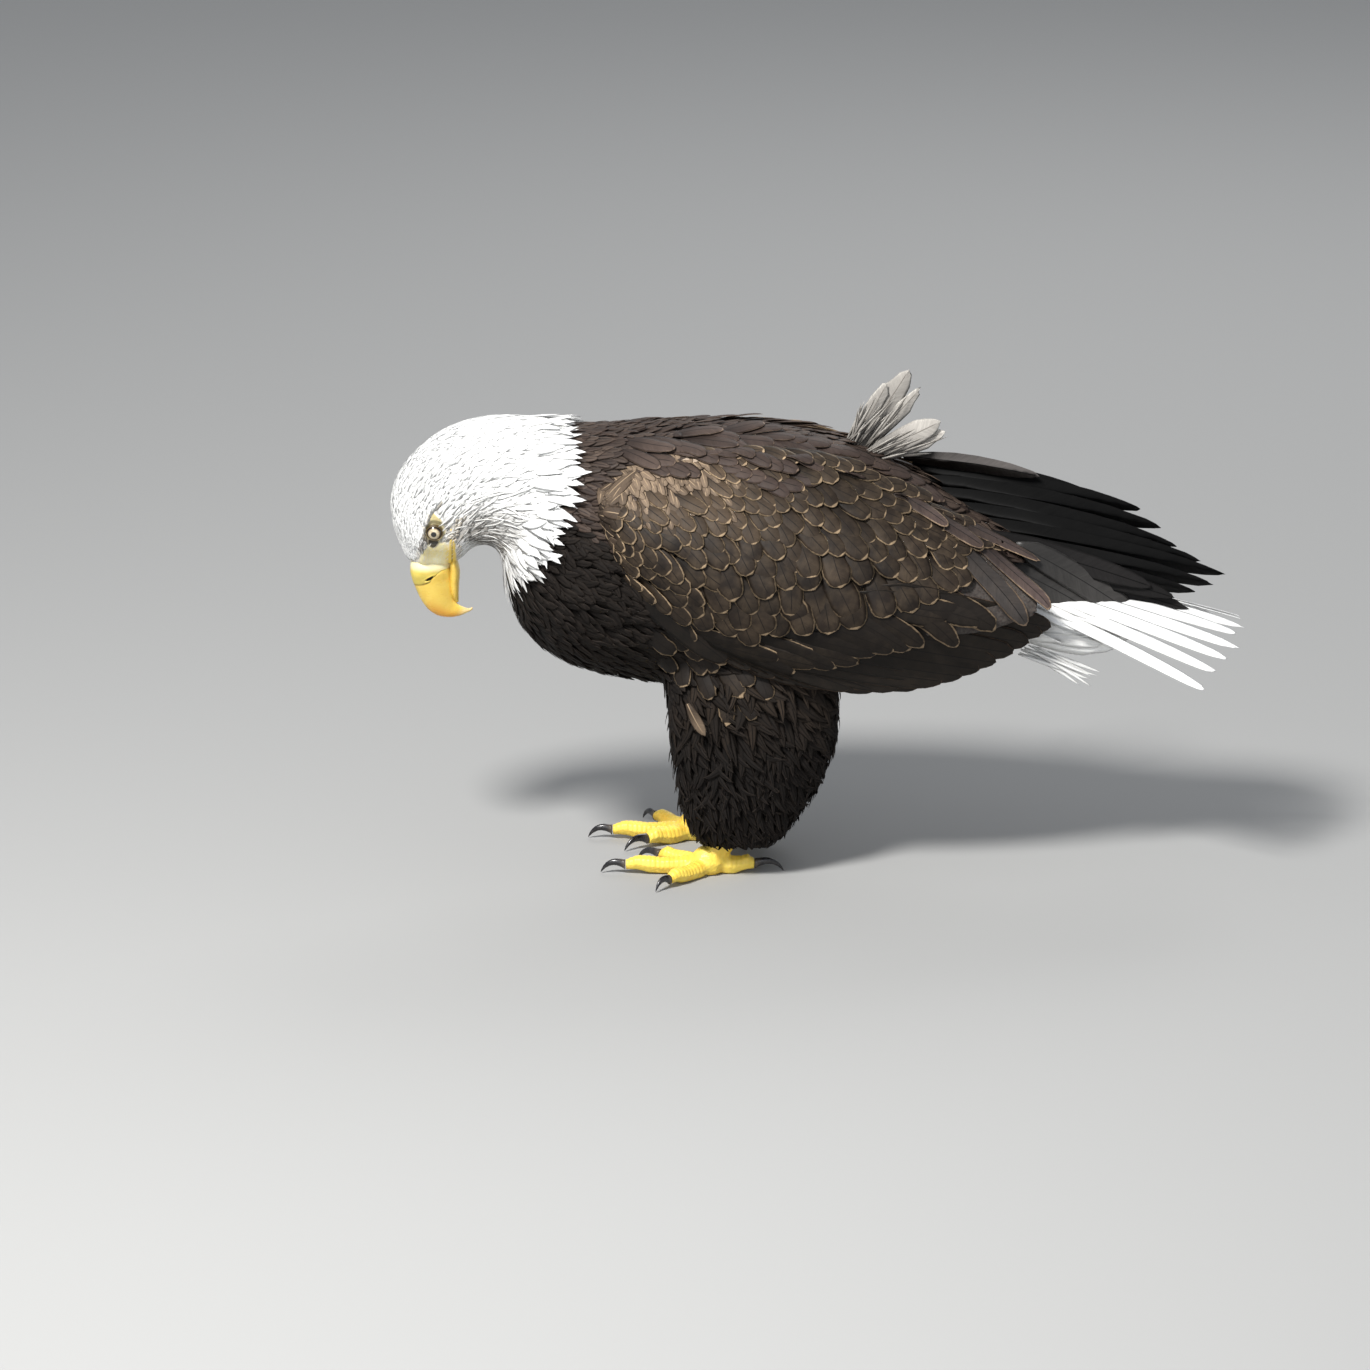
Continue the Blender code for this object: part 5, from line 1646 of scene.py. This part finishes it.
def loft(name, spots, material):  # joins rings of points, given ring by ring, with closed ends
    rings, around = spots.shape[:2]
    grid = np.arange(rings * around).reshape(rings, around)
    after = np.roll(grid, -1, axis=1)
    quads = np.stack([grid[:-1], after[:-1], after[1:], grid[1:]], -1).reshape(-1, 4)
    points = np.concatenate([spots.reshape(-1, 3), spots[:1].mean(1), spots[-1:].mean(1)])
    first, last = rings * around, rings * around + 1
    ends = [(int(b), int(a), first) for a, b in zip(grid[0], after[0])]
    ends += [(int(a), int(b), last) for a, b in zip(grid[-1], after[-1])]
    mesh = bpy.data.meshes.new(name)
    mesh.from_pydata(points.tolist(), [], quads.tolist() + ends)
    mesh.update()
    bm = bmesh.new()
    bm.from_mesh(mesh)
    bmesh.ops.recalc_face_normals(bm, faces=bm.faces)
    bm.to_mesh(mesh)
    bm.free()
    mesh.shade_smooth()
    return newObject(name, mesh, material)


# The bill in the head's own directions, in mm: culmen (forward, up), cutting edge (forward, up), half width.
upperBill = curveThrough((
    (-3.5, 44.5, -3.5, 10.4, 15.8), (9, 45.2, 8, 9.4, 15.4), (17, 43.6, 16, 9.3, 13.6),
    (26, 40.3, 24, 9, 11.8), (35.5, 36, 31, 8.4, 10), (44, 30, 35.5, 7.2, 8), (49.6, 22, 38.4, 5.2, 6),
    (51.4, 12, 40.6, 3, 4.4), (50.2, 2.5, 42.0, 0.2, 2.8), (46.8, -5.4, 43.6, -4.9, 1.8),
    (44.6, -8.8, 42.6, -8.2, 0.7),
))
lowerBill = curveThrough((
    (-6, 9.6, -6, 4.6, 9), (1.5, 11.2, 1.5, 3.8, 13.2), (10, 11.2, 10, 2, 12.4), (22, 11, 22, 2.8, 9.4),
    (31, 10, 31, 3.2, 6.6), (37.6, 6.4, 37.6, 3.4, 2.4),
))
billAt = {"front": -306.0, "level": 268.0}  # where the head's own directions start, as (x, z) in mm
nostril = {"forward": 13.5, "up": 28, "long": 4.2, "high": 1.3, "turn": math.radians(60), "deep": 2.2}


def billRings(curve, start, end, rings, around):
    # start and end are places along the curve, each one number or a function of the angle round it
    turn = np.linspace(0, 2 * math.pi, around, endpoint=False)
    begin = start(turn) if callable(start) else np.full(around, float(start))
    stop = end(turn) if callable(end) else np.full(around, float(end))
    place = begin + (stop - begin) * np.linspace(0, 1, rings)[:, None]
    read = readCurve(curve, place)
    up, out = np.cos(turn) + 0 * place, np.sin(turn) + 0 * place
    out = np.sign(out) * np.abs(out) ** 0.85
    middle, half = (read[..., 0:2] + read[..., 2:4]) / 2, (read[..., 0:2] - read[..., 2:4]) / 2
    flat = middle + half * up[..., None]
    wide = np.maximum(read[..., 4], 0.1) * out
    return flat[..., 0], flat[..., 1], wide, place, up


def billPoints(forward, up, wide):
    shift = middleOf("bill_upper_cere")[1]
    return np.stack([(billAt["front"] - up) * mm, wide * mm + shift, (billAt["level"] - forward) * mm], -1)


def cereEdge(turn):  # the cere ends far along the top of the bill, round the nostril, and high on its sides
    return table(np.cos(turn), (-1, -0.55, -0.3, -0.1, 0.15, 0.45, 1), (0.75, 0.8, 1.05, 1.5, 2.05, 2.3, 2.5))


def fromCereEdge(place, rise):  # how far along the bill a place is from the end of the cere
    return place - cereEdge(np.arccos(np.clip(rise, -1, 1)))


def markHorn(piece, ends, **marks):  # marks on the rings, with one value more for each closed end
    for name, values in marks.items():
        mark(piece.data, name, [*values.ravel(), *ends[name]])


def buildCere(material):
    forward, up, wide, place, rise = billRings(upperBill, 0, lambda turn: cereEdge(turn) - 0.012, 56, 144)
    swell = 1 + 0.05 * np.sin(math.pi * np.clip(place / 2.3, 0, 1)) * smoothstep(-0.3, 0.3, rise)
    swell *= 0.86 + 0.14 * smoothstep(0, 0.7, place)
    c, s = math.cos(nostril["turn"]), math.sin(nostril["turn"])
    a, b = forward - nostril["forward"], up - nostril["up"]
    oval = np.hypot((a * c + b * s) / nostril["long"], (b * c - a * s) / nostril["high"])
    # the nostril's dent, which the cere's material paints dark as the shade within it
    hollow = 1 - smoothstep(0.55, 1.15, oval)
    lip = np.exp(-(((oval - 1.5) / 0.35) ** 2)) * 0.35
    wide = wide * swell + np.sign(wide) * (lip - nostril["deep"] * hollow) * (np.abs(wide) > 4)
    cere = loft("cere", billPoints(forward, up, wide), material)
    ends = {"hollow": (0, 0), "along": (0, 2), "seam": (0, 0), "rise": (0, 0)}
    markHorn(cere, ends, hollow=hollow, along=place, seam=-fromCereEdge(place, rise), rise=rise)
    declared(cere, "cere", "bill_upper_cere")


def buildUpperBill(material):
    forward, up, wide, place, rise = billRings(upperBill, cereEdge, 10, 110, 96)
    seam = fromCereEdge(place, rise)
    step = 1 - 0.035 * np.exp(-((seam / 0.09) ** 2))
    tooth = 1 + 0.04 * np.exp(-(((rise + 0.86) / 0.1) ** 2)) * smoothstep(2.2, 3.2, place)
    upper = loft("upper_bill", billPoints(forward, up, wide * step * tooth), material)
    markHorn(upper, {"along": (2, 10), "seam": (0, 9), "rise": (0, 0)}, along=place, seam=seam, rise=rise)
    declared(upper, "bill_horn", "bill_upper")


def buildLowerBill(material):
    forward, up, wide, place, rise = billRings(lowerBill, 0, 5, 66, 72)
    lower = loft("lower_bill", billPoints(forward, up, wide), material)
    seam = np.full(place.shape, 3.0)
    ends = {"seam": (3, 3), "along": (1, 5), "rise": (0, 0)}
    markHorn(lower, ends, seam=seam, along=place * 0.9 + 0.5, rise=rise * 0.5 - 0.5)
    declared(lower, "bill_horn", "bill_lower")


def buildEyes(material):
    for side, sign in sides.items():
        bpy.ops.object.select_all(action="DESELECT")
        bpy.ops.mesh.primitive_uv_sphere_add(segments=64, ring_count=40, radius=eye["radius"])
        ball = bpy.context.object
        ball.name = "eyeball_" + side
        axis = unit(np.array([-0.06, -sign, -0.16]))
        turned = np.array(Vector((0, 0, 1)).rotation_difference(Vector(axis)).to_matrix())
        points = pointsOf(ball.data) @ turned.T
        off = np.linalg.norm(points - (points @ axis)[:, None] * axis, axis=1) / mm
        front = points @ axis > 0
        points *= (1 + 0.045 * (1 - smoothstep(2.5, 6.5, off)) * front)[:, None]
        setPoints(ball.data, points + eye[side])
        mark(ball.data, "off", np.where(front, off, 12))
        ball.data.shade_smooth()
        ball.data.materials.append(material)
        declared(ball, "eye", "eye_" + side)


clawShape = {"curl": math.radians(58), "start": 0.35, "arch": 3.4, "tip": 1.05, "knuckle": 3.2}


def oneClaw(side, toe, material):
    _, length, thick, reach = toeTable[toe]
    heading = toeHeading(side, toe)
    upward = np.array([0, 0, 1.0])
    across = np.cross(heading, (0, 0, 1.0))
    p = np.linspace(0, 1, 26)[:, None, None]
    turn = np.linspace(0, 2 * math.pi, 24, endpoint=False)[None, :, None]
    drop = clawShape["curl"] * p
    top = thick * 0.7 + clawShape["knuckle"] * math.exp(-((0.14 / 0.16) ** 2))
    along = length + clawShape["start"] + reach * p * np.cos(drop * 0.62)
    spot = (footMiddle[side] / mm) * (1, 1, 0) + heading * along
    rise = top * (1 - p**1.7) + clawShape["arch"] * np.sin(math.pi * p) + clawShape["tip"] * p
    wide = thick * 0.44 * (1 - p) ** 0.75 + 0.22
    wide = wide * (1 + 0.12 * np.exp(-((p / 0.06) ** 2)))
    back = upward * np.cos(drop) + heading * np.sin(drop)
    ring = np.sign(np.sin(turn)) * np.abs(np.sin(turn)) ** 0.9
    spots = spot + upward * rise + across * np.cos(turn) * wide * 0.8 + back * ring * wide
    made = loft("claw", spots * mm, material)
    mark(made.data, "along", [*(p + 0 * turn).ravel(), 0, 1])
    return made


def buildClaws(material):
    for side in sides:
        parts = [oneClaw(side, toe, material) for toe in toeTable]
        bpy.ops.object.select_all(action="DESELECT")
        for part in parts:
            part.select_set(True)
        bpy.context.view_layer.objects.active = parts[0]
        bpy.ops.object.join()
        claws = bpy.context.object
        claws.name = "claws_" + side
        declared(claws, "claw_horn", *("claw_" + toe + "_" + side for toe in toeTable))


def markSkin():  # the same markings as the coat's, and those of the bare parts
    points = pointsOf(skin.data)
    place, turn, _ = bodyPlace(points)
    labels = labelOf(points)
    onBody = ~(np.char.startswith(labels, "wing") | np.char.startswith(labels, "thigh"))
    hood = place < collar(np.abs(turn)) - 0.35
    mark(skin.data, "white", (hood | (place > 14.7)) & onBody)
    head = place < faceEnd
    mark(skin.data, "bare", bareFace(points) * head)
    _, share, across = fromSegment(points, gape["start"], gape["end"])
    run = smoothstep(-0.06, 0.0, share) * (1 - smoothstep(0.94, 1.02, share)) * head
    run = run * (np.abs(points[:, 1]) > 6 * mm)
    share, across = np.clip(share, 0, 1), np.abs(across)
    mouth = run * (1 - smoothstep(0.25, 0.8, across)) * (0.75 - 0.45 * share)
    mark(skin.data, "mouth", np.maximum(mouth, 0.42 * rearPatch(points) * head))
    mark(skin.data, "gape", run * (1 - smoothstep(1.2, 8.5, across)) * (1 - 0.3 * share))
    x, z = fromEye(points)
    lid = 1 - smoothstep(1.08, 1.24, np.hypot(x / eye["ring"][0], z / eye["ring"][1]))
    lid = np.maximum(lid, 0.95 * tearPatch(points))
    # the brow's painted shadow on the skin joins the dark lid mask
    shadow, share, _ = fromSegment(points, *brow["line"])
    lid = np.maximum(lid, 0.7 * (1 - smoothstep(0.6, 2.0, shadow)) * (1 - 0.5 * np.clip(share, 0, 1)))
    mark(skin.data, "lid", lid * (np.abs(points[:, 1]) > 9 * mm) * head)
    near = [[tree["tree"].find_nearest(p)[3] for p in points.tolist()] for tree in footTrees]
    leg = (np.min(near, 0) < 0.2 * mm) & (points[:, 2] < 0.06)
    mark(skin.data, "leg", leg)
    # the grooves, carried over for the painted shade between the scales
    groove = np.zeros(len(points), np.float32)
    skin.data.attributes["groove"].data.foreach_get("value", groove)
    mark(skin.data, "groove", groove * leg)


markSkin()
skin.data.shade_smooth()
skin.data.materials.clear()
skin.data.materials.append(materials["skin"])
declared(skin, "foot_scales", *fleshNodes, *legNodes("left"), *legNodes("right"))
print("skin triangles", sum(len(face.vertices) - 2 for face in skin.data.polygons))

print("bill, eyes and claws")
buildCere(materials["cere"])
buildUpperBill(materials["horn"])
buildLowerBill(materials["horn"])
buildEyes(materials["eye"])
buildClaws(materials["claw"])

print("coat")
headCoat(materials["white"])
neckCoat(materials["white"])
trunkCoat(materials["brown"], materials["breast"])
tailCoverts(materials["white"])
trousers(materials["breast"])
for side in sides:
    wingCoat(side, materials["wing"], materials["bend"])
    flankCoat(side, materials["wing"])
    scapulars(side, materials["scapular"])
    secondaries(side, materials["secondary"])
    flightFans(side, materials["tertial"], materials["grey"], materials["black"])
tailFan(materials["white"])
liftedFeathers(materials["lifted"])
looseFeather(materials["bend"])


studio = {
    "distance": 8.0,
    "elevation": math.radians(16),
    "width": 1.192,  # of the view at the bird
    "aim": (-0.113, 0, 0.155),
    "lit": (0, 0, 0.2),  # where the lights point
    "floor": (0.33, 0.33, 0.326, 1),
    "sky": (0.8, 0.84, 0.9, 1),
}


def towards(place, aim):
    return (Vector(aim) - Vector(place)).to_track_quat("-Z", "Y").to_euler()


def softLight(name, energy, size, place, colour=(1, 1, 1)):
    light = bpy.data.lights.new(name, "AREA")
    light.energy = energy
    light.color = colour
    light.shape = "DISK"
    light.size = size
    made = bpy.data.objects.new(name, light)
    made.location = place
    made.rotation_euler = towards(place, studio["lit"])
    bpy.context.scene.collection.objects.link(made)


def makeStage():
    bpy.ops.object.select_all(action="DESELECT")
    bpy.ops.mesh.primitive_plane_add(size=80, location=(0, 0, 0))
    floor = bpy.context.object
    floor.name = "floor"
    grey, _, shader = newMaterial("studio floor")
    setInputs(shader, baseColor=studio["floor"], roughness=0.9)
    floor.data.materials.append(grey)
    view = bpy.data.cameras.new("camera")
    view.sensor_width = 36
    view.lens = 36 * studio["distance"] / studio["width"]
    view.clip_end = 200
    camera = bpy.data.objects.new("camera", view)
    lift = studio["elevation"]
    aim = Vector(studio["aim"])
    camera.location = aim + studio["distance"] * Vector((0, -math.cos(lift), math.sin(lift)))
    camera.rotation_euler = towards(camera.location, aim)
    bpy.context.scene.collection.objects.link(camera)
    bpy.context.scene.camera = camera
    softLight("key light", 195, 0.8, (-1.2, -1.9, 2.9), (1, 0.985, 0.96))
    softLight("fill light", 26, 2.5, (-0.4, -3.2, 0.7), (0.93, 0.96, 1))
    softLight("rim light", 26, 1.5, (0.6, 2.6, 2.2))
    world = bpy.data.worlds.new("studio")
    world.use_nodes = True
    setInputs(world.node_tree.nodes["Background"].inputs, color=studio["sky"], strength=0.5)
    bpy.context.scene.world = world
    bpy.context.scene.view_settings.view_transform = "Standard"


makeStage()
bpy.data.objects.remove(guideBody)
